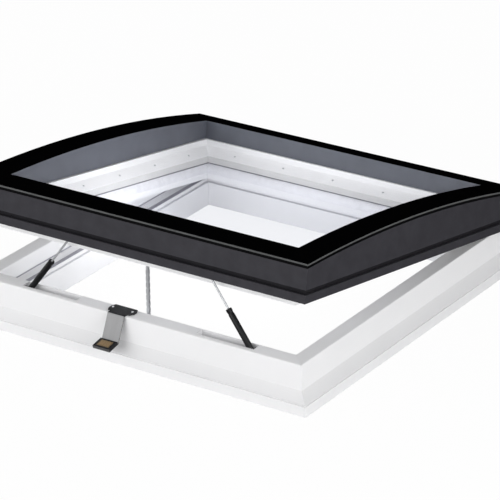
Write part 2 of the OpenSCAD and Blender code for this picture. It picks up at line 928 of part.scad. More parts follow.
// Plate with chamfered ears that clamps the arm to the lip
module sensor_clamp_plate() {
    ear = sensor_plate_w / 2;
    neck = sensor_arm_w / 2;
    rear = arm_end[0];
    front = rear - sensor_plate_d;
    chamfer = 12;
    color(black)
        difference() {
            translate([sensor_x, 0, frame_h + sensor_sheet_t])
                linear_extrude(sensor_plate_t)
                    polygon([
                        [-neck, sensor_y - sensor_fold_out + sensor_sheet_t], [neck, sensor_y - sensor_fold_out + sensor_sheet_t],
                        [neck, front], [ear - chamfer / 2, front], [ear, front + chamfer],
                        [ear, rear - chamfer], [ear - chamfer / 2, rear], [-ear + chamfer / 2, rear],
                        [-ear, rear - chamfer], [-ear, front + chamfer], [-ear + chamfer / 2, front], [-neck, front]
                    ]);
            sensor_screw_shafts();
        }
}

module sensor_body() {
    inset = 1.5;
    color(black)
        on_tray()
            difference() {
                box([-sensor_arm_w / 2, -sensor_tray_d, sensor_sheet_t / 2],
                    [sensor_arm_w / 2, -inset - sensor_sheet_t, sensor_sheet_t / 2 + sensor_body_h]);
                sensor_pad_shape();
            }
}

module sensor_pad_shape() {
    top = sensor_sheet_t / 2 + sensor_body_h;
    translate([-sensor_pad[0] / 2, -sensor_tray_d / 2 - sensor_pad[1] / 2 - 1, top - sensor_pad_t / 2])
        cube([sensor_pad[0], sensor_pad[1], sensor_pad_t]);
}

module sensor_pad() {
    color([0.62, 0.48, 0.25]) on_tray() sensor_pad_shape();
}

module at_sensor_screws() {
    for (side = [-1, 1])
        translate([sensor_x + side * sensor_screw_x, sensor_screw_y, frame_h + sensor_sheet_t + sensor_plate_t])
            children();
}

module sensor_screw_shafts() {
    at_sensor_screws() translate([0, 0, -screw_len]) cylinder(r = sensor_screw_r, h = screw_len);
}

module sensor_screws() {
    color(steel) {
        sensor_screw_shafts();
        at_sensor_screws() cylinder(r = 2 * sensor_screw_r, h = sensor_screw_r);
    }
}

// Cladding

function cove() = [
    for (i = [0:cove_steps])
        let (a = asin(cove_h / cove_r) * (1 - i / cove_steps))
        [cove_r * (1 - cos(a)), band_z + cove_h - cove_r * sin(a)]
];

function clad_section() = concat(
    [[0, skirt_z], [0, band_z]],
    cove(),
    [[0, tall_z], [clad_w, tall_z], [clad_w, web_z],
     [cove_depth + clad_wall, web_z], [cove_depth + clad_wall, web_z - clad_wall],
     [clad_wall, web_z - clad_wall], [clad_wall, skirt_z]]
);

function clad_cell() = [
    [cove_depth + clad_wall, web_z + clad_wall], [clad_w - clad_wall, web_z + clad_wall],
    [clad_w - clad_wall, tall_z + slack], [cove_depth + clad_wall, tall_z + slack]
];

// One mitred length of the hollow cladding, its top following the glass
module clad_length(side) {
    length = side_length(side, lid_w, lid_d);
    color(anthracite)
        on_lid()
            difference() {
                intersection() {
                    on_side(side, lid_w, lid_d)
                        intersection() {
                            run(clad_section(), length + slack);
                            mitre(length, slack, clad_w + slack);
                        }
                    under_arch(seal_arch_r);
                }
                intersection() {
                    on_side(side, lid_w, lid_d) run(clad_cell(), length + slack);
                    under_arch(seal_arch_r - clad_wall);
                }
                at_clad_screws(side) clad_screw(-slack);
            }
}

// Places the screws of one side in the cove
module at_clad_screws(side) {
    on_side(side, lid_w, lid_d)
        for (x = places(side_length(side, lid_w, lid_d) - 2 * clad_w, clad_screw_pitch))
            translate([x, 0, band_z + cove_h / 3])
                children();
}

// A screw with its head from u = head_u to the seat in the cove
module clad_screw(head_u) {
    seat_u = cove_depth - slack;
    along_y(clad_screw_r, head_u, seat_u);
    along_y(clad_screw_r / 2, seat_u - slack, seat_u + clad_wall);
}

module cladding_screws() {
    color(black)
        on_lid()
            for (side = [0:3])
                at_clad_screws(side) clad_screw(cove_depth / 2);
}

// Curved glass

module curved_glass() {
    color(clear_glass)
        on_lid()
            intersection() {
                arch_layer(arch_r, arch_r + glass_t);
                plan_sheet(lid_w, lid_d, -glass_over, glass_z - glass_rise, 3 * glass_rise);
            }
}

module border_print() {
    color(black)
        on_lid()
            intersection() {
                arch_layer(arch_r - border_t, arch_r - bond_gap);
                plan_ring(lid_w, lid_d, -glass_over, border_w, glass_z - glass_rise, glass_z + 2 * glass_rise);
            }
}

module glass_seal() {
    color(black)
        on_lid()
            intersection() {
                arch_layer(seal_arch_r + bond_gap, arch_r - border_t - bond_gap);
                plan_ring(lid_w, lid_d, glass_seal_inset, clad_w, glass_z - 2 * glass_rise, glass_z + 2 * glass_rise);
            }
}

// Sash, beads and insulating glass

function sash_section() = [
    [sash_u0, sash_z], [sash_u1, sash_z], [sash_u1, rest_z], [rebate_u, rest_z], [rebate_u, web_z], [sash_u0, web_z]
];

function sash_cell() = [
    [sash_u0 + sash_wall, sash_z + sash_wall], [rebate_u - sash_wall, sash_z + sash_wall],
    [rebate_u - sash_wall, web_z - sash_wall], [sash_u0 + sash_wall, web_z - sash_wall]
];

module lid_length(side, section, cell, inn) {
    length = side_length(side, lid_w, lid_d);
    on_side(side, lid_w, lid_d)
        intersection() {
            difference() {
                run(section, length);
                run(cell, length + slack);
            }
            mitre(length, 0, inn + slack);
        }
}

module sash_length(side) {
    color(plastic_white) on_lid() lid_length(side, sash_section(), sash_cell(), sash_u1);
}

module sash_seal() {
    u0 = sash_u0 + sash_wall;
    color(black)
        on_lid() plan_ring(lid_w, lid_d, u0, u0 + sash_seal_w, ledge_z + pivot_gap, sash_z);
}

bead_upper = [clad_w + bead_top_w + bead_facet[0], bead_top_z - bead_facet[1]];
bead_lower = [sash_u1 - 2, bead_z + bead_edge_h + bead_toe_h];

function bead_section() = [
    [clad_w, web_z], [rebate_u, web_z], [rebate_u, bead_z], [sash_u1, bead_z], [sash_u1, bead_z + bead_edge_h],
    bead_lower, bead_upper, [clad_w + bead_top_w, bead_top_z], [clad_w, bead_top_z]
];

function bead_cell() = [
    [clad_w + bead_wall, web_z + bead_wall], [rebate_u + bead_wall, web_z + bead_wall],
    [rebate_u + bead_wall, bead_z + bead_wall], [sash_u1 - 2 * bead_wall, bead_z + bead_wall],
    bead_lower - [2 * bead_wall, bead_wall], bead_upper - [bead_wall, 2 * bead_wall],
    [clad_w + bead_top_w - bead_wall, bead_top_z - bead_wall], [clad_w + bead_wall, bead_top_z - bead_wall]
];

// Places the screws of one side on the bead's splayed face, Z out of the face
module at_bead_screws(side) {
    middle = (bead_upper + bead_lower) / 2;
    slope = atan2(bead_upper[1] - bead_lower[1], bead_lower[0] - bead_upper[0]);
    length = side_length(side, lid_w, lid_d);
    on_side(side, lid_w, lid_d)
        for (x = places(length - 2 * sash_u1 - bead_screw_pitch / 2, bead_screw_pitch))
            translate([x, middle[0], middle[1]])
                rotate([-slope, 0, 0])
                    children();
}

// Screw shafts through the bead's wall, grown by the play of their holes
module bead_screw_shafts(side, play) {
    at_bead_screws(side)
        translate([0, 0, -bead_screw_len])
            cylinder(r = bead_screw_r / 2 + play, h = bead_screw_len + play);
}

module bead_length(side) {
    color(plastic_white)
        on_lid()
            difference() {
                lid_length(side, bead_section(), bead_cell(), sash_u1);
                bead_screw_shafts(side, running_play);
            }
}

module bead_screws() {
    color(steel)
        on_lid()
            for (side = [0:3]) {
                bead_screw_shafts(side, 0);
                at_bead_screws(side) cylinder(r = bead_screw_r, h = bead_screw_r / 2);
            }
}

module glazing_gaskets() {
    color(black)
        on_lid() {
            plan_ring(lid_w, lid_d, pane_u, gasket_u1, rest_z, lower_pane_z);
            plan_ring(lid_w, lid_d, pane_u, gasket_u1, upper_gasket_z, bead_z);
        }
}

module lower_pane() {
    color(clear_glass) on_lid() plan_sheet(lid_w, lid_d, pane_u, lower_pane_z, lower_pane_t);
}

module upper_pane() {
    color(clear_glass) on_lid() plan_sheet(lid_w, lid_d, pane_u, upper_pane_z, upper_pane_t);
}

module edge_spacer() {
    color(anthracite)
        on_lid() plan_ring(lid_w, lid_d, pane_u, pane_u + spacer_w, spacer_z, upper_pane_z);
}

// Drawing

frame_front();
frame_rear();
frame_left();
frame_right();
ledge_seal();
lip_gasket();
frame_leaf(-1);  // hinge_left_frame_leaf
frame_leaf(1);  // hinge_right_frame_leaf
sash_leaf(-1);  // hinge_left_sash_leaf
sash_leaf(1);  // hinge_right_sash_leaf
hinge_pins();
hinge_screws();
mirror([1, 0, 0]) foot_bracket();  // spring_left_foot_bracket
foot_bracket();  // spring_right_foot_bracket
spring_foot_pins();
mirror([1, 0, 0]) eye();  // spring_left_eye
eye();  // spring_right_eye
mirror([1, 0, 0]) tube();  // spring_left_tube
tube();  // spring_right_tube
mirror([1, 0, 0]) rod();  // spring_left_rod
rod();  // spring_right_rod
mirror([1, 0, 0]) top_bracket();  // spring_left_top_bracket
top_bracket();  // spring_right_top_bracket
opener_housing();
opener_end_caps();
opener_motor();
opener_gearbox();
drive_sprocket();
chain_guide();
drive_chain();
chain_bracket();
cable_inlet();
sensor_arm();
sensor_clamp_plate();
sensor_body();
sensor_pad();
sensor_screws();
clad_length(0);  // cladding_front
clad_length(2);  // cladding_rear
clad_length(3);  // cladding_left
clad_length(1);  // cladding_right
cladding_screws();
curved_glass();
border_print();
glass_seal();
sash_length(0);  // sash_front
sash_length(2);  // sash_rear
sash_length(3);  // sash_left
sash_length(1);  // sash_right
sash_seal();
bead_length(0);  // bead_front
bead_length(2);  // bead_rear
bead_length(3);  // bead_left
bead_length(1);  // bead_right
bead_screws();
glazing_gaskets();
lower_pane();
upper_pane();
edge_spacer();
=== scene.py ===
"""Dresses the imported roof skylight: finishes, turned and folded details, screws, chain and a plain studio."""

import json
from math import cos, pi, radians, sin

import bmesh
import bpy
from mathutils import Matrix, Vector

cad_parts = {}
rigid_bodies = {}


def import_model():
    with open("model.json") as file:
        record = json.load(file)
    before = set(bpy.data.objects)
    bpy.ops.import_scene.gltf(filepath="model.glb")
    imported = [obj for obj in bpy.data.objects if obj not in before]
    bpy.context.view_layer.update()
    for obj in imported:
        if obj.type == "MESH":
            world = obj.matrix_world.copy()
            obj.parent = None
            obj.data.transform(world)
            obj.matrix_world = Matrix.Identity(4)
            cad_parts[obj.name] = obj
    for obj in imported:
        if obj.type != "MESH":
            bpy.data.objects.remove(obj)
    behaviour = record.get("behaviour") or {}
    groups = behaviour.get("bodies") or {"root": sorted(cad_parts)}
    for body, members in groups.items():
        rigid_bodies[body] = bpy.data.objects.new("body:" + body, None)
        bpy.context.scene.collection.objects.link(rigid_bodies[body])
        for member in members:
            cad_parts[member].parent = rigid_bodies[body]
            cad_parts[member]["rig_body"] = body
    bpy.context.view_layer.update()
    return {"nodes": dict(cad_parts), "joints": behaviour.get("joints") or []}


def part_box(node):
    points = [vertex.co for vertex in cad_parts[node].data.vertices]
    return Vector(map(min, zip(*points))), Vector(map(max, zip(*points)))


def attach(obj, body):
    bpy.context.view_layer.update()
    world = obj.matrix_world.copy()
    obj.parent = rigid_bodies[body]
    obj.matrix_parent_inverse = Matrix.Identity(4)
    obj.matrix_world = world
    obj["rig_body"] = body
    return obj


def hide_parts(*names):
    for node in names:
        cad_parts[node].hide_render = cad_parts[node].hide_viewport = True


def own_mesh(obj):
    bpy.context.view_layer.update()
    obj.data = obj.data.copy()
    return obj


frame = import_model()
NODES = frame["nodes"]
JOINTS = {joint["name"]: joint for joint in frame["joints"]}

bl_info = {
    "name": "Roof Skylight Dresser",
    "version": (1, 0, 0),
    "blender": (4, 5, 0),
    "location": "3D View > Sidebar > Skylight",
    "description": "Builds the finishes and fine pieces of a flat-roof skylight around its solid frame",
    "category": "Object",
}

HANDS = ("left", "right")
UP = Vector((0.0, 0.0, 1.0))
EVEN = (1.0, 1.0, 1.0)
WHITE_LIGHT = (1.0, 1.0, 1.0, 1.0)
SCREW_TREE = "Pan-head screws"

# Small lengths, and reaches and heights that tell faces apart, in metres
SAME_PLACE = 1e-6
STEP_WIDTH = 0.008
SLOPE_WIDTH = 0.04
SLOPE_TOP = 0.07
REAR_SEAL_PAINTED_LIGHT = 0.40
CLADDING_TOP = 0.2
LINING_DEPTH = 0.0015
PIN_PROUD = 0.0004
NUT_SLOPE = 0.0004
PLATE_WELD = 0.00001

# Shares of a face's normal along a direction, which tell the faces for a finish
ALONG = 0.9
STRAIGHT = 0.95
CLADDING_UP = 0.8
CLADDING_UNDER = -0.1
SLOPE_UP = (0.3, 0.95)
GLASS_RIM = 0.98
GLASS_ARRIS = 0.25
BEAD_SPLAY = (-0.75, -0.5)
BEAD_FOOT_SHADE = -0.96
BEAD_TILT = 0.2
ARM_SIDE_SHADE = 0.5
TRAY_FRONT = -0.3
PAD_UP = 0.5

# Shares of a screw head's radius: its rim lies beyond the first, and points within the second are on the axis
HEAD_RIM = 0.95
ON_AXIS = 0.2

# Share of the lower pane's thickness that the edge seal runs down
SEAL_DROP = 0.97

# Turns between faces: those to join as flat, to ease, and to keep sharp in eased, turned and other meshes
FLAT_TURN = radians(0.05)
EASED_TURN = radians(28)
SHARP_TURN = radians(12)
TURNED_SHARP = radians(40)
PLAIN_SHARP = radians(30)

# Studio: each soft lamp's place and size, and what else stands in it
LAMPS = {
    "Key": ((-1.9, -5.6, 2.1), (6.0, 2.6)),
    "Fill": ((4.8, -1.6, 1.4), (3.0, 2.6)),
    "Left": ((-5.0, -1.0, 2.0), (3.0, 2.6)),
    "Back": ((0.0, 5.6, 1.4), (4.5, 2.6)),
}
LAMP_AIM = Vector((0.0, 0.0, 0.15))
WELL_LAMP_PLACE = (-0.10, -0.05, 0.24)
WELL_LAMP_RADIUS = 0.09
FLAG_PLACE = (-1.05, 1.75, 1.2)
FLAG_SIZE = (6.0, 2.4)
FLAG_BLACK = (0.003, 0.003, 0.003)
FLOOR_WIDTH = 60.0
FLOOR_HEIGHT = -0.0005
FLOOR_WHITE = 0.97
FLOOR_IN_MIRRORS = 0.06
SENSOR_WIDTH = 36.0
VIEW_REACH = 100.0

# Bare glass mirrors this share of light head-on, and more at a low angle by this power
MIRROR_LEAST = 0.04
MIRROR_POWER = 5.0

# Grain and colour clouds that several finishes share
PLASTIC = {"grain": 900.0, "depth": 0.00004, "swing": 0.012, "cloud": 6.0}
COAT = {"grain": 1500.0, "depth": 0.00008, "swing": 0.10, "cloud": 25.0}
RUBBER = {"roughness": (0.62, 0.78), "grain": 1800.0, "depth": 0.00008, "cloud": 60.0}
GRAIN_DETAIL = 2.0
GRAIN_STRENGTH = 0.35
CLOUD_DETAIL = 4.0


# Sizes and colours that a user would change

def length(name, description, default):
    return bpy.props.FloatProperty(name=name, description=description, default=default, min=0.0, precision=5,
                                   unit="LENGTH")


def colour(name, description, default):
    return bpy.props.FloatVectorProperty(name=name, description=description, default=default, size=3,
                                         min=0.0, max=1.0, subtype="COLOR")


def share(name, description, default, least=0.0, most=1.0):
    return bpy.props.FloatProperty(name=name, description=description, default=default, min=least, max=most,
                                   subtype="FACTOR")


def camera_angle(name, description, degrees):
    return bpy.props.FloatProperty(name=name, description=description, default=radians(degrees),
                                   subtype="ANGLE")


def lamp_power(name, description, default):
    return bpy.props.FloatProperty(name=name, description=description, default=default, min=0.0, unit="POWER")


class SkylightColours(bpy.types.PropertyGroup):
    """Colours of the skylight's finishes"""
    white: colour("White plastic", "Colour of the frame, sash and glazing beads", (0.84, 0.84, 0.85))
    anthracite: colour("Anthracite", "Colour of the powder coat on the cladding", (0.0375, 0.0365, 0.0425))
    lining: colour("Lining", "Colour of the walls under the glass's border", (0.090, 0.096, 0.115))
    border: colour("Printed border", "Colour of the print under the curved glass", (0.0012, 0.0012, 0.0014))
    glass: colour("Glass", "Tint of the curved glass and the insulating glass", (0.985, 0.987, 0.993))
    glass_gloss: share("Glass gloss", "How much of bare glass's mirroring the coated glass keeps", 0.05)
    # Partly painted highlight: the ground edge's grey stands in for the light line along the glass's edge
    glass_edge_and_highlight: colour("Glass edge and painted highlight", "Colour of the curved glass's ground edge", (0.095, 0.098, 0.098))
    rubber: colour("Rubber", "Colour of the black seals", (0.004, 0.004, 0.0045))
    # Painted light: a pale colour on the seals in the shaded gaps round the light well, so they look lit
    pale_seal_painted_light: colour("Pale seal", "Colour of the pale seals round the light well", (0.84, 0.84, 0.86))
    grey_rubber: colour("Grey seal", "Colour of the grey seals and gaskets", (0.36, 0.36, 0.40))
    # Painted shade: grey on the step's top beside the well, for the step's shadow line
    step_painted_shade: colour("Step strip", "Colour of the strip on the step beside the light well",
                       (0.72, 0.72, 0.75))
    steel: colour("Steel", "Colour of plated steel: brackets, hinges, chain and screws", (0.56, 0.57, 0.59))
    spacer: colour("Edge spacer", "Colour of the insulating glass's spacer and seal", (0.84, 0.84, 0.87))
    spring: colour("Spring tube", "Colour of the gas springs' painted tubes", (0.007, 0.007, 0.008))
    sensor_metal: colour("Sensor arm", "Colour of the rain sensor's folded arm", (0.225, 0.225, 0.23))
    sensor_gold: colour("Sensor pad", "Colour of the sensor pad's plated tracks", (0.40, 0.27, 0.13))
    plastic: colour("Dark plastic", "Colour of the sensor, its clamp and the opener's small parts",
                    (0.0125, 0.0125, 0.014))


class SkylightSizes(bpy.types.PropertyGroup):
    """Sizes of the skylight's fine details"""
    profile_bevel: length("Profile edge", "Rounding of the plastic profiles' edges", 0.0007)
    cladding_bevel: length("Cladding edge", "Rounding of the cladding's edges", 0.0006)
    glass_arris: length("Glass arris", "Width of the ground arris round the curved glass", 0.0008)
    print_lift: length("Print lift", "Height by which the glass seems to lift the print on its underside",
                       0.0046)
    seal_spread: length("Seal spread", "Reach of the edge seal's slope in from the spacer", 0.0125)
    seal_bevel: length("Seal edge", "Rounding of the seals' edges", 0.0002)
    lip_thickness: length("Lip thickness", "Thickness of the lip under the sash's inner edge", 0.0015)
    lip_depth: length("Lip depth", "Height of the lip under the sash's inner edge", 0.0115)
    small_bevel: length("Small edge", "Rounding of brackets, leaves and the sensor's edges", 0.0004)
    recess_share: share("Recess", "Reach of a screw's cross recess, as a share of its head's radius",
                        0.62, 0.2, 0.9)
    sleeve_share: share("Sleeve",
                        "Radius of a gas spring's sleeved tube, as a share of the bare tube's radius",
                        1.18, 1.0, 1.3)
    link_pitch: length("Link pitch", "Distance between the push chain's pins", 0.0095)
    link_width: length("Link width", "Width of a link plate", 0.0080)
    plate: length("Link plate", "Thickness of a link plate", 0.0012)
    plate_gap: length("Link gap", "Half the gap between a link's inner plates", 0.0022)
    pin_radius: length("Pin radius", "Radius of a chain pin", 0.0016)
    track_pitch: length("Track pitch", "Distance between the tracks on the sensor's pad", 0.0026)
    track_rise: length("Track rise", "Height of the tracks above the sensor's pad", 0.00012)
    chain_keep: share("Chain kept", "Share of the chain that stays out when the lid is shut", 0.19, 0.05)


class SkylightStudio(bpy.types.PropertyGroup):
    """Camera, lamps and background"""
    azimuth: camera_angle("Azimuth", "Turn of the camera from the front to the right", 34.82)
    elevation: camera_angle("Elevation", "Height of the camera as an angle", 24.243)
    roll: camera_angle("Roll", "Turn of the camera about its own axis", -1.464)
    distance: length("Distance", "Distance of the camera from its target", 9.1745)
    target: bpy.props.FloatVectorProperty(name="Target", description="Point that the camera looks at",
                                          default=(0.1352, -0.1749, 0.2264), size=3, subtype="TRANSLATION")
    focal: bpy.props.FloatProperty(name="Focal length",
                                   description="Focal length on a 36 mm sensor, in millimetres",
                                   default=231.5, min=10.0, subtype="DISTANCE_CAMERA")
    key_power: lamp_power("Key lamp", "Power of the soft lamp in front", 190.0)
    fill_power: lamp_power("Fill lamp", "Power of the soft lamp on the right", 145.0)
    left_power: lamp_power("Left lamp", "Power of the weak lamp on the left", 64.0)
    back_power: lamp_power("Back lamp", "Power of the weak lamp behind", 32.0)
    well_power: lamp_power("Well lamp", "Power of the soft lamp in the light well", 4.1)
    sky: bpy.props.FloatProperty(name="Sky", description="Strength of the even light from all round",
                                 default=0.31, min=0.0)
    floor: colour("Floor", "Colour of the pale floor", (0.90, 0.90, 0.90))


# Shader and geometry trees

def wire(tree, value, socket):
    """Links a socket to a socket, or sets a plain value on it."""
    if isinstance(value, bpy.types.NodeSocket):
        tree.links.new(value, socket)
    else:
        socket.default_value = value


def add(tree, kind, inputs=None, **settings):
    """A node with its settings, and its inputs given by name or number."""
    node = tree.nodes.new(kind)
    for name, value in settings.items():
        setattr(node, name, value)
    for key, value in (inputs or {}).items():
        wire(tree, value, node.inputs[key])
    return node


def result(tree, kind, inputs=None, **settings):
    """The first output of a new node."""
    return add(tree, kind, inputs, **settings).outputs[0]


def reckon(tree, operation, first, second):
    """A sum, a limit or another reckoning with two sockets or numbers."""
    return result(tree, "ShaderNodeMath", {0: first, 1: second}, operation=operation)


def product(tree, first, second):
    return reckon(tree, "MULTIPLY", first, second)


def opaque(rgb):
    return (*rgb, 1.0)


def shade(rgb, factor):
    return tuple(channel * factor for channel in rgb)


def mixed_colour(tree, factor, first, second):
    return add(tree, "ShaderNodeMix", {0: factor, 6: first, 7: second}, data_type="RGBA").outputs[2]


def mixed_shader(tree, factor, first, second):
    return result(tree, "ShaderNodeMixShader", {0: factor, 1: first, 2: second})


def new_material(name):
    material = bpy.data.materials.new(name)
    material.use_nodes = True
    material.node_tree.nodes.clear()
    return material, material.node_tree


def speckle(tree, scale, detail=3.0, stretch=EVEN):
    """Noise on the piece's own coordinates, drawn out along an axis where stretch is small."""
    own = add(tree, "ShaderNodeTexCoord").outputs["Object"]
    drawn = result(tree, "ShaderNodeMapping", {"Vector": own, "Scale": stretch})
    return result(tree, "ShaderNodeTexNoise", {"Vector": drawn, "Scale": scale, "Detail": detail})


def spread(tree, factor, low, high):
    """A factor from 0.3 to 0.7 drawn out to low and high."""
    inputs = {"Value": factor, "From Min": 0.3, "From Max": 0.7, "To Min": low, "To Max": high}
    return result(tree, "ShaderNodeMapRange", inputs)


def tone(tree, factor, rgb, swing):
    """The colour, a little darker and lighter along the factor."""
    even = spread(tree, factor, 0.0, 1.0)
    return mixed_colour(tree, even, opaque(shade(rgb, 1.0 - swing)), opaque(shade(rgb, 1.0 + swing)))


def surface(name, rgb, roughness, grain, depth, swing=0.04, cloud=14.0, stretch=EVEN, inside=None, **fixed):
    """A finish with broad colour clouds and a fine grain that also breaks up its gloss."""
    material, tree = new_material(name)
    fine = speckle(tree, grain, GRAIN_DETAIL, stretch)
    bump = result(tree, "ShaderNodeBump", {"Height": fine, "Strength": GRAIN_STRENGTH, "Distance": depth})
    base = tone(tree, speckle(tree, cloud, CLOUD_DETAIL, stretch), rgb, swing)
    if inside is not None:
        behind = add(tree, "ShaderNodeNewGeometry").outputs["Backfacing"]
        base = mixed_colour(tree, behind, base, opaque(inside))
    shader = add(tree, "ShaderNodeBsdfPrincipled", {
        "Base Color": base, "Roughness": spread(tree, fine, *roughness), "Normal": bump})
    for socket, value in fixed.items():
        shader.inputs[socket.replace("_", " ")].default_value = value
    add(tree, "ShaderNodeOutputMaterial", {"Surface": shader.outputs[0]})
    return material


def clear_sheet(name, rgb, gloss):
    """Clear thin glass with a faint tint, which mirrors a little at a low angle.

    Sight and light pass straight through it.
    """
    material, tree = new_material(name)
    ripple = result(tree, "ShaderNodeBump", {
        "Height": speckle(tree, scale=3.0, detail=1.0), "Strength": 0.02, "Distance": 0.0002})
    mirror = result(tree, "ShaderNodeBsdfGlossy", {"Roughness": 0.06, "Normal": ripple})
    tint = tone(tree, speckle(tree, scale=2.0, detail=1.0), rgb, swing=0.003)
    through = result(tree, "ShaderNodeBsdfRefraction", {"Color": tint, "Roughness": 0.0, "IOR": 1.0})
    low_angle = add(tree, "ShaderNodeLayerWeight", {"Blend": 0.5}).outputs["Facing"]
    rise = product(tree, reckon(tree, "POWER", low_angle, MIRROR_POWER), 1.0 - MIRROR_LEAST)
    bare_glass = reckon(tree, "ADD", rise, MIRROR_LEAST)
    inner_face = add(tree, "ShaderNodeNewGeometry").outputs["Backfacing"]
    outer_face = reckon(tree, "SUBTRACT", 1.0, inner_face)
    mirrored = product(tree, product(tree, bare_glass, outer_face), gloss)
    sheet = mixed_shader(tree, mirrored, through, mirror)
    path = add(tree, "ShaderNodeLightPath").outputs
    open_way = result(tree, "ShaderNodeBsdfTransparent", {"Color": opaque(rgb)})
    sky_lit = mixed_shader(tree, path["Is Diffuse Ray"], sheet, open_way)
    lamp_lit = mixed_shader(tree, path["Is Shadow Ray"], sky_lit, open_way)
    add(tree, "ShaderNodeOutputMaterial", {"Surface": lamp_lit})
    return material


class Finishes:
    """The skylight's materials, each made once from the chosen colours."""

    def __init__(self):
        self.made = {}

    def get(self, name):
        if name not in self.made:
            self.made[name] = getattr(self, name)(bpy.context.scene.skylight_colours)
        return self.made[name]

    def white_plastic(self, hues):
        return surface("White plastic", hues.white, (0.34, 0.44), **PLASTIC)

    # Painted shade: the frame's white made darker on the outer slope, which faces up and out
    def slope_painted_shade(self, hues):
        return surface("Slope plastic", shade(hues.white, 0.91), (0.40, 0.50), **PLASTIC)

    # Painted light: the white made lighter on the beads' splayed faces, which look up and inwards
    def bead_splay_painted_light(self, hues):
        return surface("Bead splay", shade(hues.white, 1.13), (0.40, 0.55), grain=900.0, depth=0.00005,
                       swing=0.02)

    # Painted shade: the white made darker on the inner faces at the bead's foot, where shade falls
    def bead_foot_painted_shade(self, hues):
        return surface("Bead lip", shade(hues.white, 0.70), (0.45, 0.60), grain=900.0, depth=0.00005)

    # Painted shade on the step's top beside the well
    def step_painted_shade(self, hues):
        return surface("Step strip", hues.step_painted_shade, **{**RUBBER, "roughness": (0.55, 0.70)}, swing=0.06)

    def cladding(self, hues):
        return surface("Powder coat", hues.anthracite, (0.40, 0.52), **COAT, Specular_IOR_Level=0.1)

    # Painted shade: the powder coat made darker on the cladding's downward-facing faces
    def cove(self, hues):
        return surface("Cove coat", shade(hues.anthracite, 0.4), (0.50, 0.62), **COAT,
                       Specular_IOR_Level=0.05)

    def lining(self, hues):
        return surface("Cladding lining", hues.lining, (0.42, 0.55), grain=1500.0, depth=0.00006, swing=0.08,
                       cloud=20.0)

    def clear_glass(self, hues):
        return clear_sheet("Clear glass", hues.glass, hues.glass_gloss)

    # The ground edge, grey partly as a painted highlight; seen from inside the glass it takes the print's
    # black, a painted reflection
    def glass_edge_and_highlight(self, hues):
        return surface("Ground glass edge", hues.glass_edge_and_highlight, (0.30, 0.45), grain=1800.0, depth=0.00003,
                       swing=0.12, cloud=30.0, inside=hues.border, Specular_IOR_Level=0.0)

    def black_print(self, hues):
        return surface("Printed border", hues.border, (0.20, 0.28), grain=2200.0, depth=0.00001, swing=0.10,
                       cloud=40.0, Specular_IOR_Level=0.0)

    def black_rubber(self, hues):
        return surface("Black rubber", hues.rubber, **RUBBER, swing=0.15, Specular_IOR_Level=0.05)

    # Painted light for the seals in the shaded gaps round the light well
    def pale_seal_painted_light(self, hues):
        return surface("Pale seal", hues.pale_seal_painted_light, **RUBBER, swing=0.05)

    def grey_rubber(self, hues):
        return surface("Grey seal", hues.grey_rubber, **RUBBER, swing=0.08)

    def dark_gasket(self, hues):
        return surface("Dark gasket", shade(hues.grey_rubber, 0.55), **RUBBER, swing=0.08)

    def zinc_steel(self, hues):
        return surface("Zinc steel", hues.steel, (0.28, 0.42), grain=700.0, depth=0.00002, swing=0.10,
                       cloud=90.0, Metallic=0.4)

    def spring_black(self, hues):
        return surface("Spring paint", hues.spring, (0.34, 0.44), grain=1600.0, depth=0.00003, swing=0.12,
                       cloud=60.0, Specular_IOR_Level=0.2)

    def bright_rod(self, hues):
        return surface("Bright rod", shade(hues.steel, 1.3), (0.18, 0.26), grain=1200.0, depth=0.00001,
                       swing=0.03, cloud=20.0, Metallic=0.6)

    def opener_case(self, hues):
        return surface("Opener case", shade(hues.steel, 1.15), (0.32, 0.46), grain=900.0, depth=0.00003,
                       swing=0.06, cloud=20.0, stretch=(0.04, 1.0, 1.0), Metallic=1.0)

    def dark_plastic(self, hues):
        return surface("Dark plastic", hues.plastic, (0.36, 0.50), grain=1400.0, depth=0.00006, swing=0.15,
                       cloud=70.0, Specular_IOR_Level=0.12)

    def sensor_metal(self, hues):
        return surface("Sensor arm", hues.sensor_metal, (0.38, 0.50), grain=500.0, depth=0.00002, swing=0.05,
                       cloud=60.0, stretch=(1.0, 0.06, 0.06), Metallic=0.15)

    # Painted light: a lighter grey for the sensor body's front-facing faces
    def sensor_front_painted_light(self, hues):
        return surface("Sensor rim", shade(hues.sensor_metal, 0.35), (0.40, 0.55), grain=1400.0,
                       depth=0.00004, swing=0.10, cloud=70.0)

    def sensor_gold(self, hues):
        return surface("Plated tracks", hues.sensor_gold, (0.26, 0.40), grain=1600.0, depth=0.00002,
                       swing=0.14, cloud=160.0, Metallic=0.6)

    def sensor_board(self, hues):
        return surface("Sensor board", shade(hues.sensor_gold, 0.45), (0.40, 0.55), grain=1600.0,
                       depth=0.00002, swing=0.12, cloud=160.0)

    def spacer_metal(self, hues):
        return surface("Edge spacer", hues.spacer, (0.40, 0.55), grain=1200.0, depth=0.00003, swing=0.06,
                       cloud=60.0)


FINISHES = Finishes()


# Places on the open lid

LID_HINGE = JOINTS["lid_hinge"]
HINGE = Matrix.Translation(Vector(LID_HINGE["pos_m"]))
LID_OPEN = HINGE @ Matrix.Rotation(-radians(LID_HINGE["range_deg"][1]), 4, "X") @ HINGE.inverted()
LID_SHUT = LID_OPEN.inverted()
WAYS_OUT = {
    "front": (0.0, -1.0, 0.0),
    "rear": (0.0, 1.0, 0.0),
    "left": (-1.0, 0.0, 0.0),
    "right": (1.0, 0.0, 0.0),
}


def lid_direction(closed):
    """A direction on the open lid, from the one it has when the lid is shut."""
    return (LID_OPEN.to_3x3() @ Vector(closed)).normalized()


LID_UP = lid_direction(UP)


def lid_height(point):
    """The height that a point on the open lid has when the lid is shut."""
    return (LID_SHUT @ point).z


